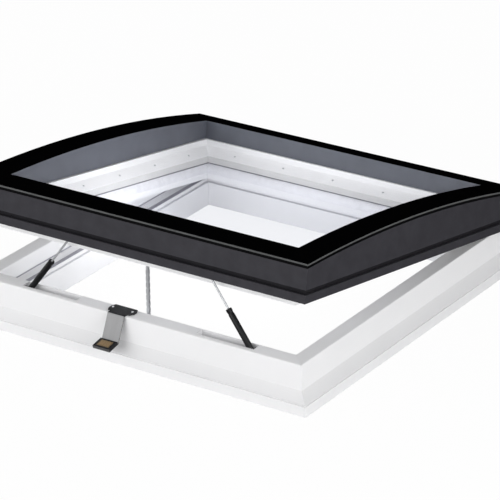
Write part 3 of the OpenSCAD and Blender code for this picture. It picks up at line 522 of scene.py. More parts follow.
def lid_side(point):
    """The side of the lid that a point on the open lid is nearest to."""
    closed = LID_SHUT @ point
    if abs(closed.x) > abs(closed.y):
        return "right" if closed.x > 0 else "left"
    return "rear" if closed.y > 0 else "front"


def way_out(point):
    """The way out of the lid's nearest side, at a point on the open lid."""
    return lid_direction(WAYS_OUT[lid_side(point)])


def outwards(face):
    """How far a face of the open lid looks out of its side: 1 straight out, -1 straight in."""
    return face.normal.dot(way_out(face.center))


def upwards(face):
    """How far a face of the open lid looks up from the lid."""
    return face.normal.dot(LID_UP)


# Meshes

def piece_from(name, mesh):
    piece = bpy.data.objects.new(name, mesh)
    bpy.context.scene.collection.objects.link(piece)
    return piece


def dots(name, points):
    """A piece of loose points, for a geometry tree to build on."""
    mesh = bpy.data.meshes.new(name)
    mesh.from_pydata(points, [], [])
    return piece_from(name, mesh)


def rectangle(name, width, depth, height=0.0):
    """A flat mesh about the origin, at a height."""
    x, y = width / 2, depth / 2
    mesh = bpy.data.meshes.new(name)
    mesh.from_pydata([(-x, -y, height), (x, -y, height), (x, y, height), (-x, y, height)], [], [(0, 1, 2, 3)])
    return mesh


def mesh_from(name, bm):
    """A plain mesh from a bmesh, which is freed."""
    mesh = bpy.data.meshes.new(name)
    bm.to_mesh(mesh)
    bm.free()
    return mesh


def settle(piece):
    """Turns a piece with modifiers into a plain mesh, and takes the modifiers off."""
    bpy.context.view_layer.update()
    evaluated = piece.evaluated_get(bpy.context.evaluated_depsgraph_get())
    mesh = bpy.data.meshes.new_from_object(evaluated)
    piece.modifiers.clear()
    piece.data = mesh


def smooth(mesh, turn=PLAIN_SHARP):
    """Shades a mesh smooth between its sharp edges, where its faces turn by more than this."""
    mesh.polygons.foreach_set("use_smooth", [True] * len(mesh.polygons))
    mesh.set_sharp_from_angle(angle=turn)
    mesh.update()


def welded(node):
    """A bmesh of a solid's loose triangles with their corners joined."""
    bm = bmesh.new()
    bm.from_mesh(NODES[node].data)
    bmesh.ops.remove_doubles(bm, verts=bm.verts, dist=SAME_PLACE)
    return bm


def joined_copy(node):
    """A copy of a solid's mesh with its triangles joined and its flat faces made whole."""
    bm = welded(node)
    bmesh.ops.dissolve_limit(bm, angle_limit=FLAT_TURN, verts=bm.verts, edges=bm.edges)
    return mesh_from(node, bm)


def shifted_copy(node, shift, chosen):
    """A joined copy of a solid's mesh with the corners of the chosen faces moved."""
    mesh = joined_copy(node)
    corners = {corner for face in mesh.polygons if chosen(face) for corner in face.vertices}
    for corner in corners:
        mesh.vertices[corner].co += shift
    mesh.update()
    return mesh


def heights_of(node):
    """The heights of a solid's corners when the lid is shut."""
    return [lid_height(vert.co) for vert in NODES[node].data.vertices]


def body_of(node):
    return NODES[node]["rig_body"]


def place(piece, nodes):
    """Sets a piece on the body of the solids that it stands for."""
    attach(piece, body_of(nodes[0]))
    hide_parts(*nodes)
    return piece


def finish_mesh(mesh, finish):
    mesh.materials.clear()
    mesh.materials.append(FINISHES.get(finish))


def finished(name, mesh, finish):
    """A new piece of one mesh with one finish."""
    finish_mesh(mesh, finish)
    return piece_from(name, mesh)


def eased(node, finish, edge, mesh=None):
    """A solid, or a mesh made from it, with its sharp edges eased, in the place of that solid."""
    piece = finished(node + "_eased", mesh or joined_copy(node), finish)
    bevel = piece.modifiers.new("Eased edges", "BEVEL")
    bevel.width = edge
    bevel.segments = 2
    bevel.limit_method = "ANGLE"
    bevel.angle_limit = EASED_TURN
    bevel.use_clamp_overlap = True
    settle(piece)
    smooth(piece.data, SHARP_TURN)
    return place(piece, [node])


def second_finish(piece, finish, chosen):
    """Another finish on the faces of a piece that are chosen."""
    piece.data.materials.append(FINISHES.get(finish))
    for face in piece.data.polygons:
        if chosen(face):
            face.material_index = len(piece.data.materials) - 1


def paint(finish, *nodes):
    """A finish on solids whose shape is right as it is."""
    for node in nodes:
        finish_mesh(NODES[node].data, finish)


def turned(name, profile, origin, axis, finish):
    """A turned shape: a profile of (radius, height) points spun about an axis, closed at both ends."""
    steps = 40
    bm = bmesh.new()
    rings = []
    for radius, height in profile:
        if radius == 0.0:
            rings.append([bm.verts.new((0.0, 0.0, height))])
            continue
        turns = [2 * pi * step / steps for step in range(steps)]
        rings.append([bm.verts.new((radius * cos(turn), radius * sin(turn), height)) for turn in turns])
    for low, high in zip(rings, rings[1:]):
        for step in range(steps):
            corners = [low[step % len(low)], low[(step + 1) % len(low)],
                       high[(step + 1) % len(high)], high[step % len(high)]]
            bm.faces.new(list(dict.fromkeys(corners)))
    bmesh.ops.recalc_face_normals(bm, faces=bm.faces)
    mesh = mesh_from(name, bm)
    mesh.transform(Matrix.Translation(origin) @ UP.rotation_difference(Vector(axis)).to_matrix().to_4x4())
    smooth(mesh, TURNED_SHARP)
    return finished(name, mesh, finish)


def fillet(radius, height, ease, outward, steps=5):
    """Points of a rounded outer corner of a turned profile, rising from below or falling to the end."""
    points = []
    for step in range(steps + 1):
        turn = pi / 2 * step / steps
        if outward:
            points.append((radius - ease + ease * sin(turn), height + ease - ease * cos(turn)))
        else:
            points.append((radius - ease + ease * cos(turn), height - ease + ease * sin(turn)))
    return points


# Geometry node trees

def new_tree(name, sockets):
    """An empty geometry tree, and the values of its named inputs."""
    tree = bpy.data.node_groups.new(name, "GeometryNodeTree")
    for socket, kind in sockets.items():
        tree.interface.new_socket(name=socket, in_out="INPUT", socket_type="NodeSocket" + kind)
    tree.interface.new_socket(name="Geometry", in_out="OUTPUT", socket_type="NodeSocketGeometry")
    return tree, tree.nodes.new("NodeGroupInput").outputs


def close_tree(tree, geometry, finish):
    whole = result(tree, "GeometryNodeRealizeInstances", {"Geometry": geometry})
    dressed = result(tree, "GeometryNodeSetMaterial", {"Geometry": whole, "Material": finish})
    add(tree, "NodeGroupOutput", {0: dressed})
    return tree


def run_tree(piece, tree, values):
    """Runs a tree on a piece with its inputs set by identifier, and keeps the plain mesh."""
    modifier = piece.modifiers.new(tree.name, "NODES")
    modifier.node_group = tree
    for item in tree.interface.items_tree:
        if item.in_out == "INPUT" and item.name in values:
            modifier[item.identifier] = values[item.name]
    settle(piece)
    if not piece.data.polygons:
        raise RuntimeError(f"{tree.name} made no faces on {piece.name}")
    smooth(piece.data)
    return piece


def vector(tree, x=0.0, y=0.0, z=0.0):
    return result(tree, "ShaderNodeCombineXYZ", {0: x, 1: y, 2: z})


def moved(tree, geometry, **lengths):
    way = vector(tree, **lengths)
    return result(tree, "GeometryNodeTransform", {"Geometry": geometry, "Translation": way})


def upended(tree, geometry):
    return result(tree, "GeometryNodeTransform", {"Geometry": geometry, "Rotation": (radians(90), 0.0, 0.0)})


def joined(tree, *geometries):
    node = tree.nodes.new("GeometryNodeJoinGeometry")
    for geometry in reversed(geometries):
        tree.links.new(geometry, node.inputs[0])
    return node.outputs[0]


def on_points(tree, points, shape, **inputs):
    return result(tree, "GeometryNodeInstanceOnPoints", {"Points": points, "Instance": shape, **inputs})


def screw_tree():
    """Pan-head screws with a cross recess on points that hold their own turn."""
    tree, value = new_tree(SCREW_TREE, {
        "Points": "Geometry", "Head Radius": "Float", "Head Height": "Float", "Shaft Radius": "Float",
        "Shaft Length": "Float", "Recess": "Float", "Finish": "Material"})
    radius, height = value["Head Radius"], value["Head Height"]
    crown = product(tree, radius, 0.72)
    head = result(tree, "GeometryNodeMeshCone", {
        "Vertices": 28, "Side Segments": 1, "Radius Top": crown, "Radius Bottom": radius, "Depth": height})
    cut = add(tree, "GeometryNodeMeshBoolean", {"Mesh 1": head}, operation="DIFFERENCE")
    reach = product(tree, product(tree, radius, value["Recess"]), 2.0)
    arm = product(tree, reach, 0.26)
    lift = product(tree, height, 0.95)
    for size in ((reach, arm, height), (arm, reach, height)):
        slot = result(tree, "GeometryNodeMeshCube", {"Size": vector(tree, *size)})
        tree.links.new(moved(tree, slot, z=lift), cut.inputs["Mesh 2"])
    shaft = result(tree, "GeometryNodeMeshCylinder", {
        "Vertices": 16, "Radius": value["Shaft Radius"], "Depth": value["Shaft Length"]})
    drop = product(tree, value["Shaft Length"], -0.5)
    screw = joined(tree, cut.outputs["Mesh"], moved(tree, shaft, z=drop))
    turn = add(tree, "GeometryNodeInputNamedAttribute", {"Name": "turn"}, data_type="FLOAT_VECTOR")
    euler = result(tree, "FunctionNodeEulerToRotation", {0: turn.outputs["Attribute"]})
    return close_tree(tree, on_points(tree, value["Points"], screw, Rotation=euler), value["Finish"])


def islands(node):
    """The separate solids of a node, as lists of points in the mesh's own order."""
    bm = welded(node)
    seen = set()
    found = []
    for first in bm.verts:
        if first in seen:
            continue
        seen.add(first)
        group = [first]
        for vert in group:
            for link in vert.link_edges:
                other = link.other_vert(vert)
                if other not in seen:
                    seen.add(other)
                    group.append(other)
        found.append([vert.co.copy() for vert in group])
    bm.free()
    return found


def middle_of(points):
    return sum(points, Vector()) / len(points)


def screw_seat(points, axis):
    """Where a screw's head meets its seat, on an axis out of the head, and the sizes of head and shaft."""
    middle = middle_of(points)
    heights = [(point - middle).dot(axis) for point in points]
    reaches = [((point - middle) - axis * height).length for point, height in zip(points, heights)]
    head_radius = max(reaches)
    shaft_radius = min(reach for reach in reaches if reach > head_radius * ON_AXIS)
    seat = min(height for height, reach in zip(heights, reaches) if reach > head_radius * HEAD_RIM)
    sizes = {"Head Radius": head_radius, "Head Height": max(heights) - seat, "Shaft Radius": shaft_radius,
             "Shaft Length": seat - min(heights)}
    return middle + axis * seat, sizes


def screws(node, axis_for, finish):
    """Screws with heads and recesses in the place of a node of plain ones."""
    groups = islands(node)
    axes = [axis_for(middle_of(points)) for points in groups]
    seats = [screw_seat(points, axis) for points, axis in zip(groups, axes)]
    heads = [seat + axis * sizes["Head Height"] / 2 for (seat, sizes), axis in zip(seats, axes)]
    piece = dots(node + "_heads", heads)
    turns = piece.data.attributes.new("turn", "FLOAT_VECTOR", "POINT")
    for number, axis in enumerate(axes):
        turns.data[number].vector = UP.rotation_difference(axis).to_euler()
    tree = bpy.data.node_groups.get(SCREW_TREE) or screw_tree()
    recess = bpy.context.scene.skylight_sizes.recess_share
    run_tree(piece, tree, {**seats[0][1], "Recess": recess, "Finish": FINISHES.get(finish)})
    return place(piece, [node])


def chain_tree():
    """A push chain: stadium plates, set narrow and wide in turn, with a pin at each joint."""
    tree, value = new_tree("Push chain", {
        "Points": "Geometry", "Pitch": "Float", "Width": "Float", "Plate": "Float", "Gap": "Float",
        "Pin Radius": "Float", "Turn": "Vector", "Finish": "Material"})
    points, thickness = value["Points"], value["Plate"]
    tall = reckon(tree, "ADD", value["Pitch"], value["Width"])
    outline = result(tree, "GeometryNodeCurvePrimitiveQuadrilateral", {
        "Width": value["Width"], "Height": tall})
    just_under_half = product(tree, value["Width"], 0.499)
    rounded = result(tree, "GeometryNodeFilletCurve", {
        "Curve": outline, "Radius": just_under_half, "Count": 6}, mode="POLY")
    blank = result(tree, "GeometryNodeFillCurve", {"Curve": rounded}, mode="NGONS")
    raised = result(tree, "GeometryNodeExtrudeMesh", {"Mesh": blank, "Offset Scale": thickness})
    back = result(tree, "GeometryNodeFlipFaces", {"Mesh": blank})
    plate = upended(tree, result(tree, "GeometryNodeMergeByDistance", {
        "Geometry": joined(tree, raised, back), "Distance": PLATE_WELD}))
    rise = product(tree, value["Pitch"], 0.5)
    inner = reckon(tree, "ADD", value["Gap"], thickness)
    outer = reckon(tree, "ADD", inner, thickness)
    pairs = []
    for far in (inner, outer):
        near = product(tree, reckon(tree, "SUBTRACT", far, thickness), -1.0)
        pairs.append(joined(tree, moved(tree, plate, y=far, z=rise), moved(tree, plate, y=near, z=rise)))
    across = product(tree, reckon(tree, "ADD", outer, PIN_PROUD), 2.0)
    pin = upended(tree, result(tree, "GeometryNodeMeshCylinder", {
        "Vertices": 20, "Radius": value["Pin Radius"], "Depth": across}))
    number = result(tree, "GeometryNodeInputIndex")
    size = add(tree, "GeometryNodeAttributeDomainSize", {"Geometry": points}, component="MESH")
    before_last = reckon(tree, "SUBTRACT", size.outputs["Point Count"], 1.5)
    linked = reckon(tree, "LESS_THAN", number, before_last)
    wide = reckon(tree, "MODULO", number, 2.0)
    narrow = reckon(tree, "SUBTRACT", 1.0, wide)
    rows = [on_points(tree, points, pair, Rotation=value["Turn"], Selection=product(tree, choice, linked))
            for choice, pair in zip((narrow, wide), pairs)]
    rows.append(on_points(tree, points, pin, Rotation=value["Turn"]))
    return close_tree(tree, joined(tree, *rows), value["Finish"])


def comb_tree():
    """Two combs of flat tracks that reach between each other, on a flat field."""
    tree, value = new_tree("Sensor combs", {
        "Points": "Geometry", "Track": "Vector", "Shift": "Float", "Finish": "Material"})
    bar = result(tree, "GeometryNodeMeshCube", {"Size": value["Track"]})
    comb = reckon(tree, "MODULO", result(tree, "GeometryNodeInputIndex"), 2.0)
    step = product(tree, reckon(tree, "SUBTRACT", comb, 0.5), value["Shift"])
    placed = result(tree, "GeometryNodeSetPosition", {
        "Geometry": value["Points"], "Offset": vector(tree, y=step)})
    return close_tree(tree, on_points(tree, placed, bar), value["Finish"])


# Operators

class SkylightOperator:
    bl_options = {"REGISTER", "UNDO"}


class SKYLIGHT_OT_frame(SkylightOperator, bpy.types.Operator):
    """Build the white upstand frame with its seals"""
    bl_idname = "skylight.frame"
    bl_label = "Frame"

    def execute(self, context):
        sizes = context.scene.skylight_sizes
        for side in WAYS_OUT:
            self.line_step(eased(f"frame_{side}", "white_plastic", sizes.profile_bevel))
        seal = eased("ledge_seal", "grey_rubber", sizes.seal_bevel)
        # Painted light: the ledge seal's rear length, in the shade of the gap under the sash, is pale; the rest
        # stays grey
        second_finish(seal, "pale_seal_painted_light", lambda face: face.center.y > REAR_SEAL_PAINTED_LIGHT)
        paint("grey_rubber", "lip_gasket")
        paint("dark_plastic", "cable_inlet")
        return {"FINISHED"}

    @staticmethod
    def line_step(piece):
        """Paints shade: grey on the step's top beside the well, and a darker white on the outer slope."""
        def reach(point):
            return max(abs(point.x), abs(point.y))

        def on_step(face):
            return face.normal.z > ALONG and reach(face.center) < well + STEP_WIDTH

        def on_slope(face):
            tilted = SLOPE_UP[0] < face.normal.z < SLOPE_UP[1]
            return tilted and reach(face.center) > slope and face.center.z < SLOPE_TOP

        reaches = [reach(vert.co) for vert in piece.data.vertices]
        well = min(reaches)
        slope = max(reaches) - SLOPE_WIDTH
        # Painted shade: the step's top beside the well in grey
        second_finish(piece, "step_painted_shade", on_step)
        # Painted shade: the outer slope in a darker white
        second_finish(piece, "slope_painted_shade", on_slope)


class SKYLIGHT_OT_hinges(SkylightOperator, bpy.types.Operator):
    """Build the two hinges with their pins and screws"""
    bl_idname = "skylight.hinges"
    bl_label = "Hinges"

    def execute(self, context):
        for hand in HANDS:
            for leaf in ("frame", "sash"):
                eased(f"hinge_{hand}_{leaf}_leaf", "zinc_steel", context.scene.skylight_sizes.small_bevel)
        paint("bright_rod", "hinge_pins")
        screws("hinge_screws", lambda point: UP, "zinc_steel")
        return {"FINISHED"}


class SKYLIGHT_OT_gas_springs(SkylightOperator, bpy.types.Operator):
    """Build the two gas springs with rolled tube ends, rods and brackets"""
    bl_idname = "skylight.gas_springs"
    bl_label = "Gas springs"

    def execute(self, context):
        for hand in HANDS:
            self.spring(hand, context.scene.skylight_sizes.sleeve_share)
            paint("zinc_steel", f"spring_{hand}_foot_bracket", f"spring_{hand}_top_bracket")
            paint("spring_black", f"spring_{hand}_eye")
        paint("bright_rod", "spring_foot_pins")
        return {"FINISHED"}

    def spring(self, hand, sleeve_share):
        foot = Vector(JOINTS[f"{hand}_spring_swing"]["pos_m"])
        axis = Vector(JOINTS[f"{hand}_rod_slide"]["axis"])
        tube, rod = f"spring_{hand}_tube", f"spring_{hand}_rod"
        start, end, radius = self.extent(tube, foot, axis)
        profile = self.tube_profile(start, end, radius * sleeve_share)
        place(turned(tube + "_rolled", profile, foot, axis, "spring_black"), [tube])
        low, high, widest = self.extent(rod, foot, axis)
        profile = self.rod_profile(low, high, widest, radius)
        place(turned(rod + "_ball", profile, foot, axis, "bright_rod"), [rod])

    @staticmethod
    def extent(node, foot, axis):
        """Where a node starts and ends along an axis, and its widest radius about it."""
        points = [vert.co - foot for vert in NODES[node].data.vertices]
        heights = [point.dot(axis) for point in points]
        reach = max((point - axis * height).length for point, height in zip(points, heights))
        return min(heights), max(heights), reach

    @staticmethod
    def tube_profile(start, end, radius):
        """A tube with a pressed foot, a rolled groove near its top and a turned-in mouth round the rod."""
        foot_ease, mouth_ease = radius * 0.3, radius * 0.22
        neck = radius - radius * 0.10
        groove = end - radius * 1.5
        groove_height = radius * 0.5
        mouth = radius * 0.42
        return [
            (0.0, start), *fillet(radius, start, foot_ease, True),
            (radius, groove - groove_height), (neck, groove - groove_height / 2),
            (neck, groove + groove_height / 2), (radius, groove + groove_height),
            *fillet(radius, end, mouth_ease, False), (mouth, end), (mouth, end - radius), (0.0, end - radius),
        ]

    @staticmethod
    def rod_profile(low, high, widest, tube_radius):
        """A rod with a piston inside the tube, a nut under the ball, and the ball."""
        radius = tube_radius * 0.4
        piston, piston_top = widest * 0.98, low + radius * 2
        ball = tube_radius * 0.8
        centre = high - ball
        turns = [pi * step / 16 for step in range(4, 16)]
        sphere = [(ball * sin(turn), centre - ball * cos(turn)) for turn in turns]
        nut, nut_radius = centre - ball * 1.7, radius * 1.5
        return [
            (0.0, low), (piston, low), (piston, piston_top), (radius, piston_top),
            (radius, nut), (nut_radius, nut + NUT_SLOPE), (nut_radius, nut + radius), *sphere, (0.0, high),
        ]


class SKYLIGHT_OT_chain_opener(SkylightOperator, bpy.types.Operator):
    """Build the push chain link by link, and finish the opener that drives it"""
    bl_idname = "skylight.chain_opener"
    bl_label = "Chain opener"

    def execute(self, context):
        sizes = context.scene.skylight_sizes
        paint("opener_case", "opener_housing")
        paint("dark_plastic", "opener_end_caps", "opener_gearbox", "chain_guide")
        paint("zinc_steel", "opener_motor", "drive_sprocket", "chain_bracket")
        foot = Vector(JOINTS["sprocket_turn"]["pos_m"])
        low, high = self.line(sizes, foot)
        count = max(2, round((high - low).length / sizes.link_pitch))
        step = (high - low) / count
        chain = dots("push_chain", [low + step * number for number in range(count + 1)])
        run_tree(chain, chain_tree(), {
            "Pitch": step.length, "Width": sizes.link_width, "Plate": sizes.plate, "Gap": sizes.plate_gap,
            "Pin Radius": sizes.pin_radius, "Turn": UP.rotation_difference(step).to_euler(),
            "Finish": FINISHES.get("zinc_steel")})
        place(chain, ["drive_chain"])
        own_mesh(chain)
        return {"FINISHED"}

    @staticmethod
    def line(sizes, foot):
        """The middles of the chain's first and last pins."""
        low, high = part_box("drive_chain")
        half = sizes.link_width / 2
        reach = sizes.plate_gap + 2 * sizes.plate + PIN_PROUD
        return Vector((0.0, foot.y, low.z + half)), Vector((0.0, high.y - reach, high.z - half))


class SKYLIGHT_OT_rain_sensor(SkylightOperator, bpy.types.Operator):
    """Build the rain sensor: folded arm, clamp plate, body and plated pad"""
    bl_idname = "skylight.rain_sensor"
    bl_label = "Rain sensor"

    def execute(self, context):
        sizes = context.scene.skylight_sizes
        arm = eased("sensor_arm", "sensor_metal", sizes.small_bevel)
        # Painted shade: the arm's side faces take the near-black dark plastic finish
        second_finish(arm, "dark_plastic", lambda face: abs(face.normal.x) > ARM_SIDE_SHADE)
        eased("sensor_clamp_plate", "dark_plastic", sizes.small_bevel)
        tray = eased("sensor_body", "dark_plastic", sizes.small_bevel)
        # Painted light on the tray's front-facing faces
        second_finish(tray, "sensor_front_painted_light", lambda face: face.normal.y < TRAY_FRONT)
        paint("sensor_board", "sensor_pad")
        screws("sensor_screws", lambda point: UP, "zinc_steel")
        self.tracks(sizes)
        return {"FINISHED"}

    @staticmethod
    def tracks(sizes):
        """Plated tracks that lie on the pad, across its width."""
        pad = NODES["sensor_pad"].data
        normal = max(pad.polygons, key=lambda face: face.area * (face.normal.z > PAD_UP)).normal.copy()
        across = Vector((1.0, 0.0, 0.0))
        along = normal.cross(across)
        points = [vert.co for vert in pad.vertices]
        middle = middle_of(points)
        level = max(point.dot(normal) for point in points)
        half_width = max(abs((point - middle).dot(across)) for point in points)
        half_depth = max(abs((point - middle).dot(along)) for point in points)
        field = 2 * half_width * 0.86
        count = int(field / sizes.track_pitch)
        first = -(count - 1) / 2
        places = [(first + number) * sizes.track_pitch for number in range(count)]
        piece = dots("sensor_tracks", [(x, 0.0, 0.0) for x in places])
        width, depth = sizes.track_pitch * 0.55, 2 * half_depth * 0.74
        run_tree(piece, comb_tree(), {
            "Track": Vector((width, depth, sizes.track_rise)), "Shift": half_depth * 0.16,
            "Finish": FINISHES.get("sensor_gold")})
        base = middle + normal * (level - middle.dot(normal) + sizes.track_rise / 2)
        piece.data.transform(Matrix.Translation(base) @ Matrix((across, along, normal)).transposed().to_4x4())
        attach(piece, body_of("sensor_pad"))


class SKYLIGHT_OT_cladding(SkylightOperator, bpy.types.Operator):
    """Build the powder-coated cladding with its screws and the walls inside it"""
    bl_idname = "skylight.cladding"
    bl_label = "Cladding"

    def execute(self, context):
        for side in WAYS_OUT:
            piece = eased(f"cladding_{side}", "cladding", context.scene.skylight_sizes.cladding_bevel)
            self.line_inside(piece, -lid_direction(WAYS_OUT[side]))
            second_finish(piece, "black_rubber", lambda face: upwards(face) > CLADDING_UP
                          and lid_height(face.center) > CLADDING_TOP)
            # Painted shade on the faces that look down
            second_finish(piece, "cove", lambda face: upwards(face) < CLADDING_UNDER)
        screws("cladding_screws", way_out, "dark_plastic")
        return {"FINISHED"}

    @staticmethod
    def line_inside(piece, inward):
        """Sets the lining's finish on the wall that faces the middle of the lid."""
        deepest = max(vert.co.dot(inward) for vert in piece.data.vertices)
        second_finish(piece, "lining", lambda face: face.normal.dot(inward) > STRAIGHT
                      and deepest - face.center.dot(inward) < LINING_DEPTH)


class SKYLIGHT_OT_glass(SkylightOperator, bpy.types.Operator):
    """Finish the curved glass, its printed border and the insulating glass"""
    bl_idname = "skylight.glass"
    bl_label = "Glass"

    def execute(self, context):
        sizes = context.scene.skylight_sizes
        sheet = eased("curved_glass", "clear_glass", sizes.glass_arris)
        # The glass's rim: a ground edge with a painted highlight, and a painted reflection of the print from
        # inside
        second_finish(sheet, "glass_edge_and_highlight", lambda face: abs(upwards(face)) < GLASS_RIM)
        second_finish(sheet, "black_print", lambda face: GLASS_ARRIS < upwards(face) < GLASS_RIM)
        paint("clear_glass", "lower_pane", "upper_pane")
        lift = LID_UP * sizes.print_lift
        border = shifted_copy("border_print", lift, lambda face: True)
        place(finished("border_print_lifted", border, "black_print"), ["border_print"])
        seal = shifted_copy("glass_seal", lift, lambda face: upwards(face) > ALONG)
        seal = eased("glass_seal", "black_rubber", sizes.seal_bevel, seal)
        second_finish(seal, "lining", lambda face: outwards(face) < -ALONG)
        self.edge_seal(sizes.seal_spread)
        heights = heights_of("edge_spacer")
        level = sum(heights) / len(heights)
        gaskets = eased("glazing_gaskets", "grey_rubber", sizes.seal_bevel)
        # Painted light: the lower gasket ring, in the shade under the spacer, is pale
        second_finish(gaskets, "pale_seal_painted_light", lambda face: lid_height(face.center) < level)
        second_finish(gaskets, "dark_gasket", lambda face: lid_height(face.center) >= level)
        return {"FINISHED"}

    @staticmethod
    def edge_seal(spread):
        """The spacer with the pale edge seal that slopes on down the lower pane's rim."""
        heights = heights_of("lower_pane")
        drop = SEAL_DROP * (max(heights) - min(heights))
        mesh = shifted_copy("edge_spacer", -LID_UP * drop, lambda face: upwards(face) < -ALONG)
        level = sum(lid_height(vert.co) for vert in mesh.vertices) / len(mesh.vertices)
        moves = []
        for face in mesh.polygons:
            if outwards(face) < -ALONG:
                inward = -way_out(face.center) * spread
                low = [corner for corner in face.vertices if lid_height(mesh.vertices[corner].co) < level]
                moves += [(corner, inward) for corner in low]
        for corner, inward in moves:
            mesh.vertices[corner].co += inward
        mesh.update()
        place(finished("edge_spacer_sealed", mesh, "spacer_metal"), ["edge_spacer"])


class SKYLIGHT_OT_sash(SkylightOperator, bpy.types.Operator):
    """Build the sash and its glazing beads with their screws"""
    bl_idname = "skylight.sash"
    bl_label = "Sash and beads"

    def execute(self, context):
        sizes = context.scene.skylight_sizes
        for side in WAYS_OUT:
            eased(f"sash_{side}", "white_plastic", sizes.profile_bevel)
        for side in WAYS_OUT:
            bead = eased(f"bead_{side}", "white_plastic", sizes.profile_bevel)
            # Painted light on the splayed faces, and painted shade on the inner faces at the bead's foot
            second_finish(bead, "bead_splay_painted_light", lambda face: BEAD_SPLAY[0] < outwards(face) < BEAD_SPLAY[1])
            second_finish(bead, "bead_foot_painted_shade", lambda face: outwards(face) < BEAD_FOOT_SHADE)
        # Painted light: the seal under the sash, in the shade of the gap above the ledge, is pale
        paint("pale_seal_painted_light", "sash_seal")
        screws("bead_screws", self.bead_axis, "zinc_steel")
        self.drip_lip(sizes)
        return {"FINISHED"}

    @staticmethod
    def drip_lip(sizes):
        """A thin lip under the sash's inner edge, which hides the gap above the ledge at the hinges."""
        points = [LID_SHUT @ vert.co for side in WAYS_OUT for vert in NODES[f"sash_{side}"].data.vertices]
        top = min(point.z for point in points)
        inner = min(max(abs(point.x), abs(point.y)) for point in points)
        outer, foot = inner + sizes.lip_thickness, top - sizes.lip_depth
        bm = bmesh.new()
        rings = []
        for reach, height in ((inner, top), (inner, foot), (outer, foot), (outer, top)):
            corners = ((-reach, -reach), (reach, -reach), (reach, reach), (-reach, reach))
            rings.append([bm.verts.new((x, y, height)) for x, y in corners])
        for ring, after in zip(rings, rings[1:] + rings[:1]):
            for step in range(4):
                bm.faces.new((ring[step], ring[(step + 1) % 4], after[(step + 1) % 4], after[step]))
        bmesh.ops.recalc_face_normals(bm, faces=bm.faces)
        mesh = mesh_from("sash_drip_lip", bm)
        mesh.transform(LID_OPEN)
        piece = finished("sash_drip_lip", mesh, "white_plastic")
        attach(piece, body_of("sash_rear"))

    @staticmethod
    def bead_axis(point):
        """The way out of the splayed bead face at a point, which looks up and inwards."""
        bead = NODES[f"bead_{lid_side(point)}"].data
        inward = -way_out(point)
        splayed = [face for face in bead.polygons
                   if BEAD_TILT < face.normal.dot(inward) < ALONG and upwards(face) > BEAD_TILT]
        return min(splayed, key=lambda face: abs((point - face.center).dot(face.normal))).normal.copy()


